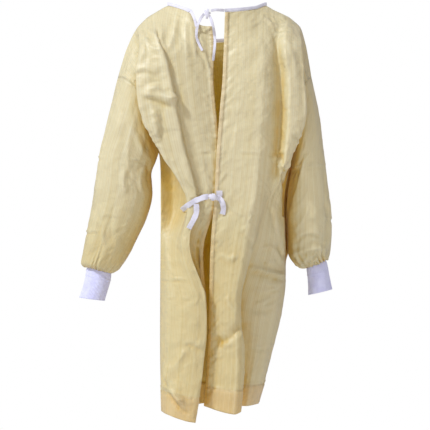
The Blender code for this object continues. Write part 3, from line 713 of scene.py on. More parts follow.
def treeOf(names, lift=0.0):
    points, faces = [], []
    for name in names:
        grid = panels[name]["grid"] + panels[name]["normals"] * lift
        base, columnCount = len(points), grid.shape[1]
        points += grid.reshape(-1, 3).tolist()
        index = base + np.arange(grid.shape[0] * columnCount).reshape(grid.shape[:2])
        nextIndex = np.roll(index, -1, 1) if panels[name]["closed"] else index[:, 1:]
        index = index if panels[name]["closed"] else index[:, :-1]
        quads = np.stack([index[:-1], nextIndex[:-1], nextIndex[1:], index[1:]], axis=-1)
        faces += quads.reshape(-1, 4).tolist()
    return BVHTree.FromPolygons(points, faces)


def seenFromBehind(panel, tree):
    grid = panel["grid"]
    seen = np.zeros(grid.shape[:2])
    ahead = Vector((0, 1, 0))
    for r in range(grid.shape[0]):
        for c in range(grid.shape[1]):
            x, y, z = grid[r, c]
            hit = tree.ray_cast(Vector((x, -1, z)), ahead)[0]
            seen[r, c] = 1.0 if hit is None or y - hit.y < 0.004 else 0.0
    return blurred(seen, 5, panel["closed"])


shareNormals()
backTree = treeOf(("back_left", "back_right"))
for name, panel in panels.items():
    grid, normals = panel["grid"], panel["normals"]
    flat = grid[..., (0, 2)] / mm
    start = {"back_left": 0, "back_right": grid.shape[1] - 1}.get(name, grid.shape[1] // 2)
    start = 0 if panel["closed"] else start
    panel["cut"] = cutPlaces(grid, panel["closed"], start)
    panel["grain"] = panel["cut"].copy()
    panel["grain"][..., 0] = 0.3 * panel["cut"][..., 0] + 0.7 * panel["cut"][..., 0].mean(axis=0)
    rowCount, columnCount = grid.shape[:2]
    toBack, toFront = easeIn(-normals[..., 1] / 0.35), easeIn(normals[..., 1] / 0.35)
    if name in ("back_left", "back_right"):
        weight = seenFromBehind(panel, backTree)
        pushed = creaseField(flat, panel["creases"]) * weight
    elif name == "front_panel":
        pushed = creaseField(flat, panel["creases"]) * toFront
    else:
        pushed = creaseField(flat, panel["creases"]) * toBack
        pushed += creaseField(flat + (0, 34), panel["creases"]) * toFront
    if name in pockets:
        pocket = pockets[name]
        towards = toBack if panel["closed"] else weight
        pushed -= pocket["deep"] * pocketField(flat, pocket["outline"], pocket["edge"]) * towards
    pushed += storageField(grid, panel["places"] - panel["places"].min(), storageCreases[name])
    seeded = panel["cut"] + (panel["seed"] * 3.1, panel["seed"] * 1.7)
    pushed += crumple(seeded, panel["crumple"])
    # seams are drawn in a little, and pucker along their stitches
    fromSeam = np.full(grid.shape[:2], 1e9)
    rowIndex = np.arange(rowCount)[:, None] * np.ones((1, columnCount))
    fromSeam = np.minimum(fromSeam, rowIndex)
    columnIndex = np.arange(columnCount)[None, :] * np.ones((rowCount, 1))
    if name in ("back_left", "front_panel"):
        fromSeam = np.minimum(fromSeam, columnCount - 1 - columnIndex)
    if name in ("back_right", "front_panel"):
        fromSeam = np.minimum(fromSeam, columnIndex)
    if panel["closed"]:
        fromSeam = np.minimum(fromSeam, np.minimum(columnIndex, columnCount - columnIndex))
    free = easeIn(fromSeam / 5)
    pucker = softNoise(grid / 0.011, 23.0) * np.exp(-((fromSeam - 2.0) / 2.2) ** 2)
    pushed = pushed * free + 0.55 * pucker * easeIn(fromSeam / 1.5) - 0.2 * np.exp(-(fromSeam / 1.6) ** 2)
    panel["double"] = np.zeros(grid.shape[:2])
    if panel["closed"]:
        panel["pushed"] = pushed
        continue
    # the hem is turned up and stitched, and so are the two centre edges
    rest = panel["cut"][-1, :, 1] - panel["cut"][..., 1]
    hem = 1 / (1 + np.exp(np.clip((rest - woven["hemDepth"]) / 0.0016, -30, 30)))
    along = panel["cut"][..., 0]
    wave = softNoise(np.stack([along / 0.0085, along * 0], -1), panel["seed"] + 31.0)
    pushed += 0.8 * hem + 1.1 * wave * np.exp(-(((rest - woven["hemDepth"]) / 0.0065) ** 2))
    pushed += 1.2 * np.exp(-(((rest - woven["hemDepth"] - 0.005) / 0.0035) ** 2))
    pushed -= 1.3 * np.exp(-(((rest - woven["hemDepth"] + 0.001) / 0.0026) ** 2))
    panel["double"] = np.maximum(panel["double"], hem)
    if name != "front_panel":
        inward = np.abs(along)
        edge = 1 / (1 + np.exp(np.clip((inward - woven["edgeFold"]) / 0.0012, -30, 30)))
        down = panel["cut"][..., 1]
        wave = softNoise(np.stack([down / 0.0075, down * 0], -1), panel["seed"] + 41.0)
        slack = softNoise(np.stack([down / 0.03, down * 0], -1), panel["seed"] + 43.0)
        pushed += 0.35 * edge + (1.7 * wave + 1.0 * slack) * np.exp(-(((inward - 0.006) / 0.009) ** 2))
        # short pulls run slantwise into the cloth from the stitches
        pull = softNoise(np.stack([(down + inward * 0.9) / 0.012, inward * 0], -1), panel["seed"] + 47.0)
        pushed += 1.3 * pull * np.exp(-(((inward - 0.020) / 0.014) ** 2))
        panel["double"] = np.maximum(panel["double"], 0.8 * edge)
    panel["pushed"] = pushed
print("cloth creased")

# the sleeves are gathered into their cuffs
gathers = {"count": 15, "height": 3.6, "reach": 0.075}
for name, seed, strength in (("sleeve_left", 3.0, 0.85), ("sleeve_right", 8.0, 1.6)):
    panel = panels[name]
    rest = panel["cut"][-1, :, 1] - panel["cut"][..., 1]
    columnCount = panel["grid"].shape[1]
    around = np.arange(columnCount) / columnCount * 2 * math.pi
    ring = np.stack([np.cos(around), np.sin(around)], -1)
    bend = softNoise(ring * 1.7, seed) * 1.6
    fold = np.cos(gathers["count"] * around + bend * 3) * (0.7 + 0.5 * softNoise(ring * 3.1, seed + 1))
    second = np.cos((gathers["count"] * 2 + 3) * around - bend * 4) * 0.4
    length = gathers["reach"] * (0.75 + 0.5 * softNoise(ring * 4.3, seed + 2))
    fade = np.exp(-np.clip(rest / length, 0, 20) ** 1.6) * easeIn(rest / 0.012 + 0.25)
    near = np.exp(-np.clip(rest / 0.022, 0, 20) ** 2) * easeIn(rest / 0.010 + 0.3)
    panel["pushed"] += strength * gathers["height"] * (fold * fade * 0.62 + second * near)

for name, panel in panels.items():
    panel["grid"] = panel["grid"] + panel["normals"] * (panel["pushed"] * mm)[..., None]
    panel["normals"] = gridNormals(panel["grid"], panel["closed"])
print("panels pushed into their creases")

# Painted shade: light that bounces between folds of yellow cloth deepens its colour, so each point holds how
# sheltered it is by the cloth around it and whether it stands out or lies in a hollow, and this is painted
# into its colour.
shadePaint = {
    "step": 3,
    "rays": 18,
    "reach": 0.15,
    "start": 0.004,
    "aside": (0.31, 0.17, 0.93),
    "blur": 24,
    "hollow": 2.2,
    # shares of the painted shade in the depth mark: all cloth, low cloth, sheltered cloth, and cloth that
    # stands out
    "base": 0.27,
    "low": 0.30,
    "sheltered": 0.88,
    "out": -0.07,
}


def hemisphere(count):
    turns = np.arange(count) * math.pi * (3 - math.sqrt(5))
    heights = 1 - (np.arange(count) + 0.5) / count * 0.92
    rim = np.sqrt(1 - heights ** 2)
    return np.stack([rim * np.cos(turns), rim * np.sin(turns), heights], -1)


def shelteredShare(panel, tree):
    rays = hemisphere(shadePaint["rays"])
    weights = rays[:, 2] / rays[:, 2].sum()
    rowCount, columnCount = panel["grid"].shape[:2]
    rowPicks = np.unique(np.append(np.arange(0, rowCount, shadePaint["step"]), rowCount - 1))
    columnPicks = np.unique(np.append(np.arange(0, columnCount, shadePaint["step"]), columnCount - 1))
    share = np.zeros((len(rowPicks), len(columnPicks)))
    for i, r in enumerate(rowPicks):
        for k, c in enumerate(columnPicks):
            up = panel["normals"][r, c]
            side = np.cross(up, shadePaint["aside"])
            side /= max(np.linalg.norm(side), 1e-9)
            ways = rays[:, :1] * side + rays[:, 1:2] * np.cross(up, side) + rays[:, 2:] * up
            start = Vector(panel["grid"][r, c] + up * shadePaint["start"])
            for way, weight in zip(ways, weights):
                distance = tree.ray_cast(start, Vector(way), shadePaint["reach"])[3]
                if distance is not None:
                    share[i, k] += weight * (1 - 0.5 * distance / shadePaint["reach"])
    wide = np.array([np.interp(np.arange(columnCount), columnPicks, row) for row in share])
    return np.stack([np.interp(np.arange(rowCount), rowPicks, column) for column in wide.T], axis=1)


allTree = treeOf(tuple(panels))
for name, panel in panels.items():
    flatter = blurred(panel["grid"], shadePaint["blur"], panel["closed"])
    out = ((panel["grid"] - flatter) * panel["normals"]).sum(axis=2) / (shadePaint["hollow"] * mm)
    sheltered = np.clip(1.5 * shelteredShare(panel, allTree) - 0.08, 0, 1)
    # low on the left the panels hang close, and there the colour is painted yellower for light that comes
    # through both
    close = easeIn((-0.48 - panel["grid"][..., 2]) / 0.25) * easeIn((0.11 - panel["grid"][..., 0]) / 0.05)
    # depth is painted shade: the finishes turn the cloth deeper and more mustard where it is high, and paler
    # where cloth stands out
    depth = shadePaint["base"] + shadePaint["low"] * close + shadePaint["sheltered"] * sheltered
    panel["depth"] = np.clip(depth + shadePaint["out"] * np.clip(out, -1, 1), 0, 1)
print("hollows measured")


# Finishes
def node(tree, kind, place, values=None, **settings):
    # a node with its settings and the values of its inputs
    new = tree.nodes.new("ShaderNode" + kind)
    new.location = place
    for key, value in settings.items():
        setattr(new, key, value)
    for key, value in (values or {}).items():
        new.inputs[key].default_value = value
    return new


def join(tree, start, output, end, entry):
    tree.links.new(start.outputs[output], end.inputs[entry])


def clothFinish(name, light, dark, stripe, seeThrough, roughness):
    # thin woven polyester: a fine pinstripe, uneven yellow streaks and a soft shine
    finish = bpy.data.materials.new(name)
    finish.use_nodes = True
    tree = finish.node_tree
    shader = tree.nodes["Principled BSDF"]
    out = tree.nodes["Material Output"]
    cutMap = node(tree, "UVMap", (-1700, 0), uv_map="cut")
    parts = node(tree, "SeparateXYZ", (-1500, 0))
    join(tree, cutMap, "UV", parts, "Vector")
    # the pinstripe, about 5 mm apart
    turns = node(tree, "Math", (-1300, 200), {1: 2 * math.pi / stripe}, operation="MULTIPLY")
    wave = node(tree, "Math", (-1100, 200), operation="SINE")
    band = node(tree, "MapRange", (-900, 200), {"From Min": 0.1, "From Max": 0.95})
    join(tree, parts, "X", turns, 0)
    join(tree, turns, 0, wave, 0)
    join(tree, wave, 0, band, "Value")
    # long streaks of uneven yarn
    stretch = node(tree, "Mapping", (-1300, -100), {"Scale": (150.0, 1.2, 1.0)})
    streak = node(tree, "TexNoise", (-1100, -100), {"Scale": 1.0, "Detail": 3.0})
    join(tree, cutMap, "UV", stretch, "Vector")
    join(tree, stretch, "Vector", streak, "Vector")
    ramp = node(tree, "ValToRGB", (-900, -100))
    ramp.color_ramp.elements[0].position = 0.28
    ramp.color_ramp.elements[0].color = (*dark, 1)
    ramp.color_ramp.elements[1].position = 0.70
    ramp.color_ramp.elements[1].color = (*light, 1)
    join(tree, streak, "Fac", ramp, "Fac")
    pin = node(tree, "MixRGB", (-600, 50), {"Color2": (0.92, 0.87, 0.74, 1)}, blend_type="MULTIPLY")
    pinShare = node(tree, "Math", (-750, 250), {1: 0.42}, operation="MULTIPLY")
    join(tree, band, "Result", pinShare, 0)
    join(tree, pinShare, 0, pin, "Fac")
    join(tree, ramp, "Color", pin, "Color1")
    # doubled cloth at hems shows a warmer, deeper colour
    double = node(tree, "Attribute", (-600, -200), attribute_name="double")
    warm = node(tree, "MixRGB", (-400, 0), {"Color2": (1.0, 0.86, 0.74, 1)}, blend_type="MULTIPLY")
    warmShare = node(tree, "Math", (-500, -300), {1: 0.55}, operation="MULTIPLY")
    join(tree, double, "Fac", warmShare, 0)
    join(tree, warmShare, 0, warm, "Fac")
    join(tree, pin, "Color", warm, "Color1")
    # painted shade: the depth mark turns the colour deeper and more mustard in hollows and sheltered folds,
    # and leaves it paler on cloth that stands out
    depth = node(tree, "Attribute", (-400, -300), attribute_name="depth")
    shadeRamp = node(tree, "ValToRGB", (-250, -200))
    shadeRamp.color_ramp.elements[0].position = 0.08
    shadeRamp.color_ramp.elements[0].color = (1.0, 1.0, 1.0, 1)
    shadeRamp.color_ramp.elements[1].position = 0.95
    shadeRamp.color_ramp.elements[1].color = (0.92, 0.73, 0.27, 1)
    middle = shadeRamp.color_ramp.elements.new(0.45)
    middle.color = (0.97, 0.94, 0.80, 1)
    shadePainted = node(tree, "MixRGB", (-50, 0), {"Fac": 1.0}, blend_type="MULTIPLY")
    join(tree, depth, "Fac", shadeRamp, "Fac")
    join(tree, warm, "Color", shadePainted, "Color1")
    join(tree, shadeRamp, "Color", shadePainted, "Color2")
    join(tree, shadePainted, "Color", shader, "Base Color")
    # the weave, and fine crumples too small for the mesh
    weave = node(tree, "TexNoise", (-900, -450), {"Scale": 1500.0, "Detail": 1.0})
    crush = node(tree, "TexNoise", (-900, -650), {"Scale": 60.0, "Detail": 3.0})
    join(tree, cutMap, "UV", weave, "Vector")
    join(tree, cutMap, "UV", crush, "Vector")
    weaveBump = node(tree, "Bump", (-600, -450), {"Strength": 0.15, "Distance": 0.0002})
    crushBump = node(tree, "Bump", (-400, -550), {"Strength": 0.8, "Distance": 0.0034})
    sharp = node(tree, "TexNoise", (-900, -850),
                 {"Scale": 13.0, "Detail": 2.0, "Roughness": 0.4}, noise_type="RIDGED_MULTIFRACTAL")
    join(tree, cutMap, "UV", sharp, "Vector")
    sharpBump = node(tree, "Bump", (-200, -650), {"Strength": 0.7, "Distance": 0.015})
    join(tree, sharp, "Fac", sharpBump, "Height")
    small = node(tree, "TexNoise", (-900, -1050),
                 {"Scale": 34.0, "Detail": 1.0}, noise_type="RIDGED_MULTIFRACTAL")
    join(tree, cutMap, "UV", small, "Vector")
    smallBump = node(tree, "Bump", (-300, -850), {"Strength": 0.7, "Distance": 0.0040})
    join(tree, small, "Fac", smallBump, "Height")
    join(tree, weave, "Fac", weaveBump, "Height")
    join(tree, crush, "Fac", crushBump, "Height")
    join(tree, weaveBump, "Normal", crushBump, "Normal")
    join(tree, crushBump, "Normal", smallBump, "Normal")
    join(tree, smallBump, "Normal", sharpBump, "Normal")
    # a turned hem stands out by its own thickness
    hemBump = node(tree, "Bump", (-100, -850), {"Strength": 1.0, "Distance": 0.004})
    join(tree, double, "Fac", hemBump, "Height")
    join(tree, sharpBump, "Normal", hemBump, "Normal")
    join(tree, hemBump, "Normal", shader, "Normal")
    shader.inputs["Roughness"].default_value = roughness
    shader.inputs["Specular IOR Level"].default_value = 0.6
    shader.inputs["Sheen Weight"].default_value = 0.3
    shader.inputs["Sheen Roughness"].default_value = 0.45
    shader.inputs["Sheen Tint"].default_value = (1.0, 0.98, 0.95, 1)
    through = node(tree, "BsdfTranslucent", (100, -300))
    deeper = node(tree, "MixRGB", (-100, -300),
                  {"Fac": 1.0, "Color2": (1.0, 0.86, 0.34, 1)}, blend_type="MULTIPLY")
    join(tree, shadePainted, "Color", deeper, "Color1")
    blend = node(tree, "MixShader", (300, 0), {"Fac": seeThrough})
    join(tree, deeper, "Color", through, "Color")
    join(tree, sharpBump, "Normal", through, "Normal")
    join(tree, shader, "BSDF", blend, 1)
    join(tree, through, "BSDF", blend, 2)
    join(tree, blend, "Shader", out, "Surface")
    return finish


def tapeFinish(name, colour, shade, pitch, ribs):
    # twill tape or ribbed knit, white with a faint lilac cast
    finish = bpy.data.materials.new(name)
    finish.use_nodes = True
    tree = finish.node_tree
    shader = tree.nodes["Principled BSDF"]
    cutMap = node(tree, "UVMap", (-1500, 0), uv_map="cut")
    turned = node(tree, "Mapping", (-1300, 0), {"Rotation": (0, 0, 0 if ribs else math.radians(52))})
    lines = node(tree, "TexWave", (-1100, 0),
                 {"Scale": 0.314 / pitch, "Distortion": 0.4}, wave_type="BANDS", bands_direction="X")
    join(tree, cutMap, "UV", turned, "Vector")
    join(tree, turned, "Vector", lines, "Vector")
    worn = node(tree, "TexNoise", (-1100, -300), {"Scale": 45.0, "Detail": 4.0})
    join(tree, cutMap, "UV", worn, "Vector")
    mixed = node(tree, "MixRGB", (-800, 0), {"Color1": (*shade, 1), "Color2": (*colour, 1)})
    share = node(tree, "MapRange", (-950, -150), {"From Min": 0.2, "From Max": 0.62})
    join(tree, worn, "Fac", share, "Value")
    join(tree, share, "Result", mixed, "Fac")
    grooved = node(tree, "MixRGB", (-500, 0), {"Color2": (0.86, 0.86, 0.9, 1)}, blend_type="MULTIPLY")
    dark = node(tree, "Math", (-700, 200), {1: -0.6, 2: 0.6}, operation="MULTIPLY_ADD")
    join(tree, lines, "Fac", dark, 0)
    join(tree, dark, 0, grooved, "Fac")
    join(tree, mixed, "Color", grooved, "Color1")
    join(tree, grooved, "Color", shader, "Base Color")
    bump = node(tree, "Bump", (-300, -300), {"Strength": 0.6, "Distance": 0.0003})
    join(tree, lines, "Fac", bump, "Height")
    join(tree, bump, "Normal", shader, "Normal")
    shader.inputs["Roughness"].default_value = 0.8
    shader.inputs["Specular IOR Level"].default_value = 0.25
    shader.inputs["Sheen Weight"].default_value = 0.3
    return finish


yellowCloth = clothFinish("yellowCloth", (0.90, 0.89, 0.73), (0.84, 0.79, 0.55), 0.0048, 0.40, 0.46)
# the inside of the cloth is a darker, more mustard copy of the yellow cloth: painted shade of the hollow
# inside of the gown and painted light that comes through the cloth
yellowInsideShaded = clothFinish("yellowInsideShaded", (0.84, 0.78, 0.46), (0.76, 0.66, 0.30), 0.0048, 0.45, 0.5)
whiteTape = tapeFinish("whiteTape", (0.74, 0.73, 0.84), (0.64, 0.62, 0.76), 0.0014, False)
cuffKnit = tapeFinish("cuffKnit", (0.72, 0.73, 0.98), (0.62, 0.62, 0.92), 0.0008, True)
thread = tapeFinish("thread", (0.86, 0.74, 0.50), (0.80, 0.66, 0.38), 0.0006, False)
print("finishes mixed")


# Making the pieces
def gridMesh(name, grid, closed, cut, marks, finishes):
    # one sheet of quads; its map is the flat cut, in metres
    rowCount, columnCount = grid.shape[:2]
    spans = columnCount if closed else columnCount - 1
    r, c = np.meshgrid(np.arange(rowCount - 1), np.arange(spans), indexing="ij")
    d = (c + 1) % columnCount
    quads = np.stack([r * columnCount + c, r * columnCount + d,
                      (r + 1) * columnCount + d, (r + 1) * columnCount + c], axis=-1).reshape(-1, 4)
    mesh = bpy.data.meshes.new(name)
    mesh.from_pydata(grid.reshape(-1, 3).tolist(), [], quads.tolist())
    if closed:
        last = cut[:, -1, 0] + (cut[:, -1, 0] - cut[:, -2, 0])
        wide = np.concatenate([cut[..., 0], last[:, None]], axis=1)
        tall = np.concatenate([cut[..., 1], cut[:, :1, 1]], axis=1)
    else:
        wide, tall = cut[..., 0], cut[..., 1]
    corners = ((r, c), (r, c + 1), (r + 1, c + 1), (r + 1, c))
    places = np.stack([np.stack([wide[i, k], tall[i, k]], -1) for i, k in corners], axis=2)
    layer = mesh.uv_layers.new(name="cut")
    layer.data.foreach_set("uv", places.reshape(-1).astype(np.float32))
    for mark, values in marks.items():
        held = mesh.attributes.new(mark, "FLOAT", "POINT")
        held.data.foreach_set("value", values.reshape(-1).astype(np.float32))
    for finish in finishes:
        mesh.materials.append(finish)
    mesh.polygons.foreach_set("use_smooth", np.ones(len(quads), bool))
    mesh.update()
    piece = bpy.data.objects.new(name, mesh)
    bpy.context.scene.collection.objects.link(piece)
    return piece


def applyModifiers(piece):
    bpy.ops.object.select_all(action="DESELECT")
    bpy.context.view_layer.objects.active = piece
    piece.select_set(True)
    for modifier in list(piece.modifiers):
        bpy.ops.object.modifier_apply(modifier=modifier.name)
    piece.select_set(False)


def giveWall(piece, wall, thick, inside):
    # the sheet gets its real thickness, more where the weights are 1
    group = piece.vertex_groups.new(name="thick")
    for weight in (0.0, 1.0):
        chosen = np.flatnonzero((thick.reshape(-1) > 0.5) == bool(weight))
        group.add(chosen.tolist(), weight, "REPLACE")
    solid = piece.modifiers.new("wall", "SOLIDIFY")
    solid.thickness = wall
    solid.offset = 0.0
    solid.vertex_group = "thick"
    solid.thickness_vertex_group = woven["wall"] / wall if wall > woven["wall"] else 1.0
    solid.use_even_offset = False
    solid.material_offset = inside
    solid.material_offset_rim = 0
    applyModifiers(piece)
    piece.vertex_groups.clear()


def drawnIn(grid, closed):
    # sewn edges stop just short of each other
    moved = grid.copy()
    gap = woven["seamGap"] / 2
    for border, inner in ((0, 1), (-1, -2)):
        way = grid[inner] - grid[border]
        moved[border] += way / np.linalg.norm(way, axis=1)[:, None] * gap
        if not closed:
            way = grid[:, inner] - grid[:, border]
            moved[:, border] += way / np.linalg.norm(way, axis=1)[:, None] * gap
    return moved


made = {}


def dress(piece, name):
    # the piece rides the one body and takes the place of its node
    made[name] = piece
    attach(piece, "root")
    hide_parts(name)


for name, panel in panels.items():
    grid = drawnIn(panel["grid"], panel["closed"])
    marks = {"double": panel["double"], "depth": panel["depth"]}
    piece = gridMesh(name + "_cloth", grid, panel["closed"], panel["grain"], marks,
                     (yellowCloth, yellowInsideShaded))
    giveWall(piece, woven["hemWall"], panel["double"], 1)
    dress(piece, name)
print("woven panels made")


# Ribbed cuffs
def cuffPiece(name, grid, seamRow):
    normals = gridNormals(grid, True)
    rowCount, columnCount = grid.shape[:2]
    around = np.arange(columnCount) / columnCount * 2 * math.pi
    rib = np.cos(around * cuffs["ribs"])[None, :] * cuffs["ribHeight"]
    soft = softNoise(grid / 0.016, 5.0) * 0.0011 + softNoise(grid / 0.006, 6.0) * 0.0003
    down = np.arange(rowCount)[:, None]
    seam = 0.0007 * np.exp(-((down - seamRow) / 0.9) ** 2)
    seam = seam - 0.0005 * np.exp(-((down - seamRow - 2.2) / 1.1) ** 2)
    rim = 0.0007 * np.exp(-((rowCount - 1 - down) / 1.2) ** 2)
    waist = -0.0012 * np.exp(-(down / 3.0) ** 2)
    grid = grid + normals * (rib + soft + seam + rim + waist)[..., None]
    cut = cutPlaces(grid, True, 0)
    piece = gridMesh(name + "_knit", grid, True, cut, {}, (cuffKnit,))
    giveWall(piece, cuffs["wall"], np.ones(grid.shape[:2]), 0)
    dress(piece, name)
    return cut


leftCuffCut = cuffPiece("cuff_left", leftCuffGrid, 12)
rightCuffCut = cuffPiece("cuff_right", rightCuffGrid, 12)
print("cuffs knitted")


# Tapes: a rounded strip swept along a route
def ribbon(name, path, sides, width, wall, finish, swell=None):
    path, sides = np.asarray(path, float), np.asarray(sides, float)
    run = np.gradient(path, axis=0)
    run /= np.linalg.norm(run, axis=1)[:, None]
    sides = sides - run * (sides * run).sum(axis=1)[:, None]
    sides /= np.linalg.norm(sides, axis=1)[:, None]
    faces = np.cross(run, sides)
    swell = np.ones(len(path)) if swell is None else np.asarray(swell, float)
    outline = []
    for t in np.linspace(0, 2 * math.pi, 20, endpoint=False):
        wide = np.sign(math.cos(t)) * abs(math.cos(t)) ** 0.42
        thick = np.sign(math.sin(t)) * abs(math.sin(t)) ** 0.75
        outline.append((wide * 0.5, thick * 0.5))
    outline = np.array(outline)
    grid = (path[:, None] + sides[:, None] * (outline[:, 0] * width)[None, :, None] * swell[:, None, None]
            + faces[:, None] * (outline[:, 1] * wall)[None, :, None])
    count = len(outline)
    reached = np.concatenate([[0], np.cumsum(np.linalg.norm(np.diff(path, axis=0), axis=1))])
    points = grid.reshape(-1, 3).tolist()
    quads, places = [], []
    girth = np.concatenate([[0], np.cumsum(np.linalg.norm(np.diff(
        np.vstack([outline, outline[:1]]) * (width, wall), axis=0), axis=1))])
    for i in range(len(path) - 1):
        for k in range(count):
            n = (k + 1) % count
            quads.append((i * count + k, (i + 1) * count + k, (i + 1) * count + n, i * count + n))
            places += [(girth[k], reached[i]), (girth[k], reached[i + 1]),
                       (girth[k + 1], reached[i + 1]), (girth[k + 1], reached[i])]
    for i, order in ((0, range(count)), (len(path) - 1, range(count - 1, -1, -1))):
        quads.append(tuple(i * count + k for k in order))
        places += [(outline[k, 0] * width, reached[i]) for k in order]
    mesh = bpy.data.meshes.new(name)
    mesh.from_pydata(points, [], quads)
    layer = mesh.uv_layers.new(name="cut")
    layer.data.foreach_set("uv", np.array(places, np.float32).reshape(-1))
    mesh.materials.append(finish)
    mesh.polygons.foreach_set("use_smooth", np.ones(len(quads), bool))
    mesh.update()
    shape = bmesh.new()
    shape.from_mesh(mesh)
    bmesh.ops.recalc_face_normals(shape, faces=shape.faces)
    shape.to_mesh(mesh)
    shape.free()
    mesh.set_sharp_from_angle(angle=math.radians(60))
    piece = bpy.data.objects.new(name, mesh)
    bpy.context.scene.collection.objects.link(piece)
    return piece, reached[-1]


# the binding folds over the raw edge of the neck, in one run of its own
binding = {"width": 0.0098, "wall": 0.0030}


def neckBinding():
    rootLeft, neckLeft = sum(backLeft["steps"][:2]), sum(backLeft["steps"][:3])
    neckRight = rightGrid.shape[1] - 1 - sum(backRight["steps"][:3])
    shoulderLeft = leftGrid.shape[1] - 1 - neckLeft
    front = frontPanelGrid
    ranges = (
        (leftGrid, range(rootLeft, neckLeft + 1)),
        (front, range(shoulderLeft, front.shape[1] - neckRight)),
        (rightGrid, range(neckRight, rightGrid.shape[1])),
    )
    edge, down = [], []
    for grid, columns in ranges:
        for c in columns:
            step = grid[11, c] - grid[0, c]
            step = step / np.linalg.norm(step)
            if edge and np.linalg.norm(edge[-1] - grid[0, c]) < 1e-6:
                down[-1] = down[-1] + step
                continue
            edge.append(grid[0, c])
            down.append(step)
    edge, down = np.array(edge), np.array(down) + (0, 0, -0.6)
    for _ in range(14):
        down[1:-1] = (down[:-2] + 2 * down[1:-1] + down[2:]) / 4
    down /= np.linalg.norm(down, axis=1)[:, None]
    path = edge - down * (0.0006 + binding["width"] / 2)
    ripple = softNoise(np.arange(len(path))[:, None] / 3.1, 3.0) * 0.0005
    out = path - path.mean(axis=0)
    out[:, 2] = 0
    out /= np.linalg.norm(out, axis=1)[:, None]
    path = path + out * ripple[:, None]
    piece, length = ribbon("neck_binding_tape", path, down, binding["width"], binding["wall"], whiteTape)
    dress(piece, "neck_binding")
    return length, path, down


bindingLength, bindingPath, bindingDown = neckBinding()

# The ties: x, z and the lift from the cloth, in millimetres; a third number under zero is y
ties = {
    "waistWidth": 0.0152,
    "neckWidth": 0.0078,
    "wall": 0.0012,
    "lift": 0.0014,
    "waist_tie_tail_left": ((-24, -543, -128), (-34, -544, -131), (-48, -549, -132), (-62, -555, 2),
                            (-80, -566, 1), (-99, -580, 0)),
    "waist_tie_tail_down": ((-58, -563, 5), (-57, -576, 2), (-58, -590, 1), (-65, -606, 2), (-79, -632, 1)),
    "waist_tie_loop_right": ((0, -544, -127), (8, -549, 4), (15, -560, 5), (18, -576, 3), (15, -592, 1)),
    "neck_tie_tail_left": ((-36, -30, -93), (-46, -44, -95), (-53, -60, -97), (-57, -78, 3), (-57, -96, 2),
                           (-51, -114, 1), (-41, -134, 1)),
    "neck_tie_tail_right": ((-20, -38, -94), (-15, -52, -97), (-10, -70, -100), (-7, -92, 1), (-6, -112, 1),
                            (-8, -136, 1), (-11, -162, 0)),
    "neck_tie_left": ((-75, -17, -60), (-68, -32, -73), (-62, -48, -83), (-58, -66, -91)),
    "neck_tie_right": ((21, -20, -82), (8, -19, -86), (-6, -19, -89), (-17, -22, -92)),
}
twists = {   # turn of the tape along its route, in degrees
    "waist_tie_tail_left": (10, -14, 12, 4),
    "waist_tie_tail_down": (-16, 8, -10, 14),
    "waist_tie_loop_right": (24, -30, 14, 6),
    "neck_tie_tail_left": (20, -28, 34, -12),
    "neck_tie_tail_right": (-30, 26, -20, 30),
    "neck_tie_left": (10, -16, 12, 0),
    "neck_tie_right": (0, 16, -12, 0),
}
outerBacks = treeOf(("back_left", "back_right"), woven["wall"] / 2)


def clothAt(x, z, reach):
    depths = []
    for over in (-reach, 0, reach):
        for up in (-reach, 0, reach):
            hit = outerBacks.ray_cast(Vector((x + over, -1, z + up)), Vector((0, 1, 0)))[0]
            if hit is not None:
                depths.append(hit.y)
    if depths:
        return min(depths)
    return outerBacks.find_nearest(Vector((x, -0.1, z)))[0].y


def tieRoute(name, width):
    route = ties[name]
    flat = smoothThrough(np.array([(x, z) for x, z, _ in route]) * mm, [6] * (len(route) - 1))
    marks = [third for _, _, third in route]
    depth = []
    for i, (x, z) in enumerate(flat):
        low = min(i // 6, len(marks) - 1)
        high = min(low + 1, len(marks) - 1)
        ends = []
        for mark in (marks[low], marks[high]):
            ends.append(mark * mm if mark < 0 else clothAt(x, z, width * 0.42) - ties["lift"] - mark * mm)
        depth.append(ends[0] + (ends[1] - ends[0]) * easeIn(i / 6 - low))
    depth = np.array(depth)
    for _ in range(3):
        depth[1:-1] = (depth[:-2] + 2 * depth[1:-1] + depth[2:]) / 4
    path = np.column_stack([flat[:, 0], depth, flat[:, 1]])
    run = np.gradient(path, axis=0)
    side = np.cross(run, (0, 1, 0))
    side /= np.linalg.norm(side, axis=1)[:, None]
    angles = np.radians(np.interp(np.linspace(0, 3, len(path)), range(4), twists[name]))
    toward = np.cross(side, run / np.linalg.norm(run, axis=1)[:, None])
    return path, side * np.cos(angles)[:, None] + toward * np.sin(angles)[:, None]


tieLengths = {}
for name in [key for key in ties if "tie" in key]:
    width = ties["waistWidth"] if name.startswith("waist") else ties["neckWidth"]
    path, sides = tieRoute(name, width)
    bow = 0.00045 * np.sin(np.linspace(0, 9, len(path)))
    path = path + (0, -1, 0) * np.abs(bow)[:, None]
    swell = 1 - 0.07 * softNoise(np.arange(len(path))[:, None] / 4.0, len(name))
    piece, tieLengths[name] = ribbon(name + "_tape", path, sides, width, ties["wall"], whiteTape, swell)
    dress(piece, name)

# Knots: tape wound round itself
knots = {
    # centre and half sizes in millimetres, the tape in metres; then each turn: its tilt, its
    # start and end angle, and its scale
    "neck_tie_knot": {
        "centre": (-27, -91, -30),
        "half": (9.5, 5.5, 14),
        "width": 0.0078,
        "wall": 0.0018,
        "turns": ((12, -200, 20, 0.86), (78, -190, 30, 0.95), (-38, -185, 10, 1.0)),
    },
    "waist_tie_knot": {
        "centre": (-11, -127, -544),
        "half": (13, 7.5, 10),
        "width": 0.0125,
        "wall": 0.0018,
        "turns": ((8, -200, 20, 0.82), (84, -195, 20, 0.92), (-30, -190, 15, 1.0)),
    },
}


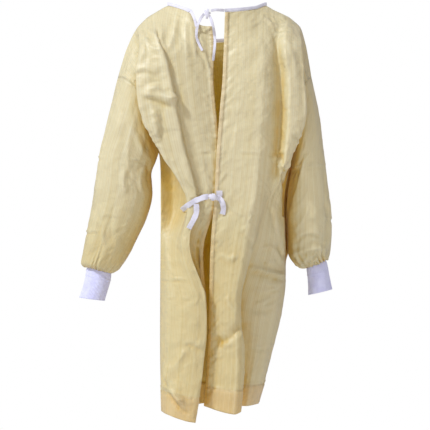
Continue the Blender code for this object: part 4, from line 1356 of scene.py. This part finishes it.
def knotPiece(name, sizes):
    centre, half = np.array(sizes["centre"]) * mm, np.array(sizes["half"]) * mm
    parts = []
    for index, (tilt, start, end, scale) in enumerate(sizes["turns"]):
        angles = np.radians(np.linspace(start, end, 22))
        tilted = math.radians(tilt)
        along = np.array([math.cos(tilted), 0, math.sin(tilted)])
        path = (np.cos(angles)[:, None] * along + np.sin(angles)[:, None] * (0, 1, 0)) * half * scale
        sides = np.cross(along, (0, 1, 0)) * np.ones((len(path), 1))
        squeeze = 1 - 0.22 * np.abs(np.cos(angles))
        part, _ = ribbon(f"{name}_{index}", path + centre, sides, sizes["width"], sizes["wall"],
                         whiteTape, squeeze)
        parts.append(part)
    bpy.ops.object.select_all(action="DESELECT")
    for part in parts:
        part.select_set(True)
    bpy.context.view_layer.objects.active = parts[0]
    bpy.ops.object.join()
    parts[0].name = name + "_tape"
    parts[0].select_set(False)
    return parts[0]


for name, sizes in knots.items():
    dress(knotPiece(name, sizes), name)

# the sewn end of the right waist tape: its place in millimetres, its wall and lift in metres
patch = {"left": -2, "right": 15, "high": -522, "low": -545, "steps": 16, "wall": 0.0014, "lift": 0.0016}


def patchPiece():
    middle = (patch["high"] + patch["low"]) / 2
    xs = np.linspace(patch["left"], patch["right"], patch["steps"])
    path = np.array([(x * mm, clothAt(x * mm, middle * mm, 0.004) - patch["lift"], middle * mm) for x in xs])
    for _ in range(4):
        path[1:-1] = (path[:-2] + 2 * path[1:-1] + path[2:]) / 4
    sides = np.tile((0, 0, 1.0), (len(path), 1))
    return ribbon("waist_tie_patch_tape", path, sides, ties["waistWidth"], patch["wall"], whiteTape)


piece, tieLengths["waist_tie_patch"] = patchPiece()
dress(piece, "waist_tie_patch")
print("tapes tied")


# Stitches: each a small spindle of thread that lies on the cloth
def stitchRow(points, normals, pitch, length, thick):
    # short stitches at even steps along a line
    points, normals = np.asarray(points), np.asarray(normals)
    gaps = np.linalg.norm(np.diff(points, axis=0), axis=1)
    reached = np.concatenate([[0], np.cumsum(gaps)])
    count = max(int((reached[-1] - length) / pitch), 1)
    starts = np.arange(count) * pitch + 0.3 * pitch

    def along(where, values):
        return np.stack([np.interp(where, reached, values[:, k]) for k in range(3)], 1)

    first, last = along(starts, points), along(starts + length, points)
    middle = (first + last) / 2
    up = along(starts, normals)
    run = last - first
    run /= np.maximum(np.linalg.norm(run, axis=1), 1e-9)[:, None]
    side = np.cross(up, run)
    side /= np.maximum(np.linalg.norm(side, axis=1), 1e-9)[:, None]
    up = np.cross(run, side)
    verts, quads = [], []
    shares = ((-0.5, 0.25), (-0.3, 0.85), (0.0, 1.0), (0.3, 0.85), (0.5, 0.25))
    for m, r, s, u in zip(middle, run, side, up):
        base = len(verts)
        for share, girth in shares:
            for corner in range(6):
                turn = corner * math.pi / 3
                ring = s * (math.cos(turn) * 0.5) + u * (math.sin(turn) * 0.5)
                verts.append(m + r * share * length + ring * thick * girth + u * thick * 0.2)
        for i in range(len(shares) - 1):
            for k in range(6):
                n = (k + 1) % 6
                low, high = base + i * 6, base + (i + 1) * 6
                quads.append((low + k, low + n, high + n, high + k))
        quads.append(tuple(base + k for k in reversed(range(6))))
        quads.append(tuple(base + (len(shares) - 1) * 6 + k for k in range(6)))
    return verts, quads


def stitchPiece(name, rows, finish):
    verts, quads = [], []
    for row in rows:
        more, faces = stitchRow(*row)
        base = len(verts)
        verts += more
        quads += [tuple(base + k for k in face) for face in faces]
    mesh = bpy.data.meshes.new(name)
    mesh.from_pydata([tuple(v) for v in verts], [], quads)
    layer = mesh.uv_layers.new(name="cut")
    flat = np.zeros((len(mesh.loops), 2), np.float32)
    where = np.array([verts[loop.vertex_index] for loop in mesh.loops])
    flat[:, 0], flat[:, 1] = where[:, 0] + where[:, 1], where[:, 2]
    layer.data.foreach_set("uv", flat.reshape(-1))
    mesh.materials.append(finish)
    mesh.polygons.foreach_set("use_smooth", np.ones(len(quads), bool))
    mesh.update()
    piece = bpy.data.objects.new(name, mesh)
    bpy.context.scene.collection.objects.link(piece)
    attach(piece, "root")
    return piece


def edgeLine(panel, distance, lift):
    # a line down a panel at this distance from its centre edge
    grid, normals, across = panel["grid"], panel["normals"], np.abs(panel["cut"][..., 0])
    line, up = [], []
    for r in range(2, len(grid) - 2):
        order = np.argsort(across[r])
        reach = across[r][order]
        line.append([np.interp(distance, reach, grid[r, order, k]) for k in range(3)])
        up.append([np.interp(distance, reach, normals[r, order, k]) for k in range(3)])
    up = np.array(up) / np.linalg.norm(up, axis=1)[:, None]
    return np.array(line) + up * lift, up


def hemLine(panel, distance, lift):
    # a line across a panel at this height above its lower edge
    grid, normals = panel["grid"], panel["normals"]
    rest = panel["cut"][-1, :, 1] - panel["cut"][..., 1]
    line, up = [], []
    for c in range(1, grid.shape[1] - 1):
        reach = rest[::-1, c]
        line.append([np.interp(distance, reach, grid[::-1, c, k]) for k in range(3)])
        up.append([np.interp(distance, reach, normals[::-1, c, k]) for k in range(3)])
    up = np.array(up) / np.linalg.norm(up, axis=1)[:, None]
    return np.array(line) + up * lift, up


# the pitch, length and thickness of the stitches of each kind, in metres
stitchSizes = {
    "hem": (0.0034, 0.0027, 0.00042),
    "armhole": (0.0046, 0.0036, 0.0007),
    "binding": (0.0030, 0.0024, 0.0004),
    "cross": (0.0026, 0.0021, 0.0004),
}
# where the stitches lie, in metres: up from the hem, in from a centre edge, down the binding,
# and how far they are lifted from the middle of the cloth
stitchPlaces = {
    "hemUp": 0.0575,
    "edgeIn": 0.0095,
    "bindingDown": 0.0028,
    "lift": 0.00075,
    "armholeLift": 0.0011,
}
for name in ("back_left", "back_right", "front_panel"):
    rows = [(*hemLine(panels[name], stitchPlaces["hemUp"], stitchPlaces["lift"]), *stitchSizes["hem"])]
    if name != "front_panel":
        edge = edgeLine(panels[name], stitchPlaces["edgeIn"], stitchPlaces["lift"])
        rows.append((*edge, *stitchSizes["hem"]))
    stitchPiece(name + "_stitches", rows, thread)
for name in ("sleeve_left", "sleeve_right"):
    up = panels[name]["normals"][1]
    ring = panels[name]["grid"][1] + up * stitchPlaces["armholeLift"]
    stitchPiece(name + "_stitches", [(ring, up, *stitchSizes["armhole"])], thread)

out = np.cross(np.gradient(bindingPath, axis=0), bindingDown)
out /= np.linalg.norm(out, axis=1)[:, None]
if (out * (bindingPath - bindingPath.mean(axis=0))).sum() < 0:
    out = -out
bindingLine = bindingPath + bindingDown * stitchPlaces["bindingDown"] + out * (binding["wall"] / 2)
rows = [(bindingLine, out, *stitchSizes["binding"])]
stitchPiece("neck_binding_stitches", rows, whiteTape)


def crossedStitches():
    # a box of stitches with a cross through it holds the right waist tape
    corners = np.array(((0, -527), (13, -527), (13, -540), (0, -540))) * mm
    lines = [(corners[0], corners[1]), (corners[1], corners[2]), (corners[2], corners[3]),
             (corners[3], corners[0]), (corners[0], corners[2]), (corners[1], corners[3])]
    patchTree = BVHTree.FromObject(made["waist_tie_patch"], bpy.context.evaluated_depsgraph_get())
    rows = []
    for start, end in lines:
        line = []
        for t in np.linspace(0, 1, 14):
            x, z = start + (end - start) * t
            hit = patchTree.ray_cast(Vector((x, -1, z)), Vector((0, 1, 0)))[0]
            line.append((x, clothAt(x, z, 0.0) - 0.002 if hit is None else hit.y, z))
        rows.append((line, [(0, -1, 0)] * len(line), *stitchSizes["cross"]))
    return stitchPiece("waist_tie_stitches", rows, thread)


crossedStitches()
print("stitched")

# The flat cut of each panel: width and length in metres, and its area on one side
tableOfCuts = {}
for name, panel in panels.items():
    across = panel["cut"][..., 0]
    wide = float((across.max(axis=1) - across.min(axis=1)).max())
    tall = float(panel["cut"][-1, :, 1].max())
    area = sum(polygon.area for polygon in made[name].data.polygons) / 2
    tableOfCuts[name] = (round(wide, 4), round(tall, 4), round(area, 4))
print("cuts", tableOfCuts, {k: round(v, 4) for k, v in tieLengths.items()}, round(bindingLength, 4))
for name, piece in made.items():
    print(name, len(piece.data.polygons), len(piece.data.vertices))

# The stage: a pale floor, white surroundings and three lights
bpy.ops.mesh.primitive_plane_add(size=5.2, location=(0, 0, -1.45))
floor = bpy.context.active_object
floor.name = "floor"
floorFinish = bpy.data.materials.new("floorFinish")
floorFinish.use_nodes = True
floorShader = floorFinish.node_tree.nodes["Principled BSDF"]
floorShader.inputs["Base Color"].default_value = (0.86, 0.86, 0.86, 1)
floorShader.inputs["Roughness"].default_value = 0.7
floor.data.materials.append(floorFinish)

world = bpy.context.scene.world or bpy.data.worlds.new("surroundings")
bpy.context.scene.world = world
world.use_nodes = True
backdrop = world.node_tree.nodes["Background"]
backdrop.inputs["Color"].default_value = (1, 1, 1, 1)
# what the camera sees is white, but less light than that falls on the gown
onlySeen = world.node_tree.nodes.new("ShaderNodeLightPath")
brightness = world.node_tree.nodes.new("ShaderNodeMapRange")
brightness.inputs["To Min"].default_value = 0.52
brightness.inputs["To Max"].default_value = 1.0
world.node_tree.links.new(onlySeen.outputs["Is Camera Ray"], brightness.inputs["Value"])
world.node_tree.links.new(brightness.outputs["Result"], backdrop.inputs["Strength"])
bpy.context.scene.view_settings.view_transform = "Standard"


def hangLight(lamp, place, aim, power, colour):
    lamp.energy = power
    lamp.color = colour
    held = bpy.data.objects.new(lamp.name, lamp)
    held.location = place
    held.rotation_euler = (Vector(aim) - held.location).to_track_quat("-Z", "Y").to_euler()
    bpy.context.scene.collection.objects.link(held)


def roundLight(name, size):
    lamp = bpy.data.lights.new(name, "AREA")
    lamp.shape = "DISK"
    lamp.size = size
    return lamp


hangLight(roundLight("key", 0.7), (-3.3, -2.4, 3.4), (0, 0, -0.5), 262, (0.94, 0.97, 1.0))
hangLight(roundLight("low fill", 1.6), (0.6, -4.0, -1.3), (0, 0, -0.95), 24, (1.0, 0.84, 0.62))
# a soft spot lifts the shaded cloth under the right arm
spot = bpy.data.lights.new("spot", "SPOT")
spot.spot_size = math.radians(6)
spot.spot_blend = 1.0
spot.shadow_soft_size = 0.15
hangLight(spot, (0.9, -3.4, -0.5), (0.215, 0, -0.50), 85, (1.0, 0.92, 0.76))

# the camera stands where the photograph was taken from, in metres
view = {"away": 7.0, "wide": 1.221, "across": -0.0057, "high": -0.594}
lens = bpy.data.cameras.new("camera")
lens.sensor_fit = "HORIZONTAL"
lens.angle = 2 * math.atan(view["wide"] / 2 / view["away"])
camera = bpy.data.objects.new("camera", lens)
camera.location = (view["across"], -view["away"], view["high"])
camera.rotation_euler = (math.radians(90), 0, 0)
bpy.context.scene.collection.objects.link(camera)
bpy.context.scene.camera = camera

for name, panel in panels.items():
    wide, tall, area = tableOfCuts[name]
for name, cut in (("cuff_left", leftCuffCut), ("cuff_right", rightCuffCut)):
    wide = float((cut[..., 0].max(axis=1)).mean())
# a sheet is at least 10 mm wide, so the area of the narrower neck tie is stated with it
for name in ("neck_tie_left", "neck_tie_right", "neck_tie_tail_left", "neck_tie_tail_right"):
    length = tieLengths[name]
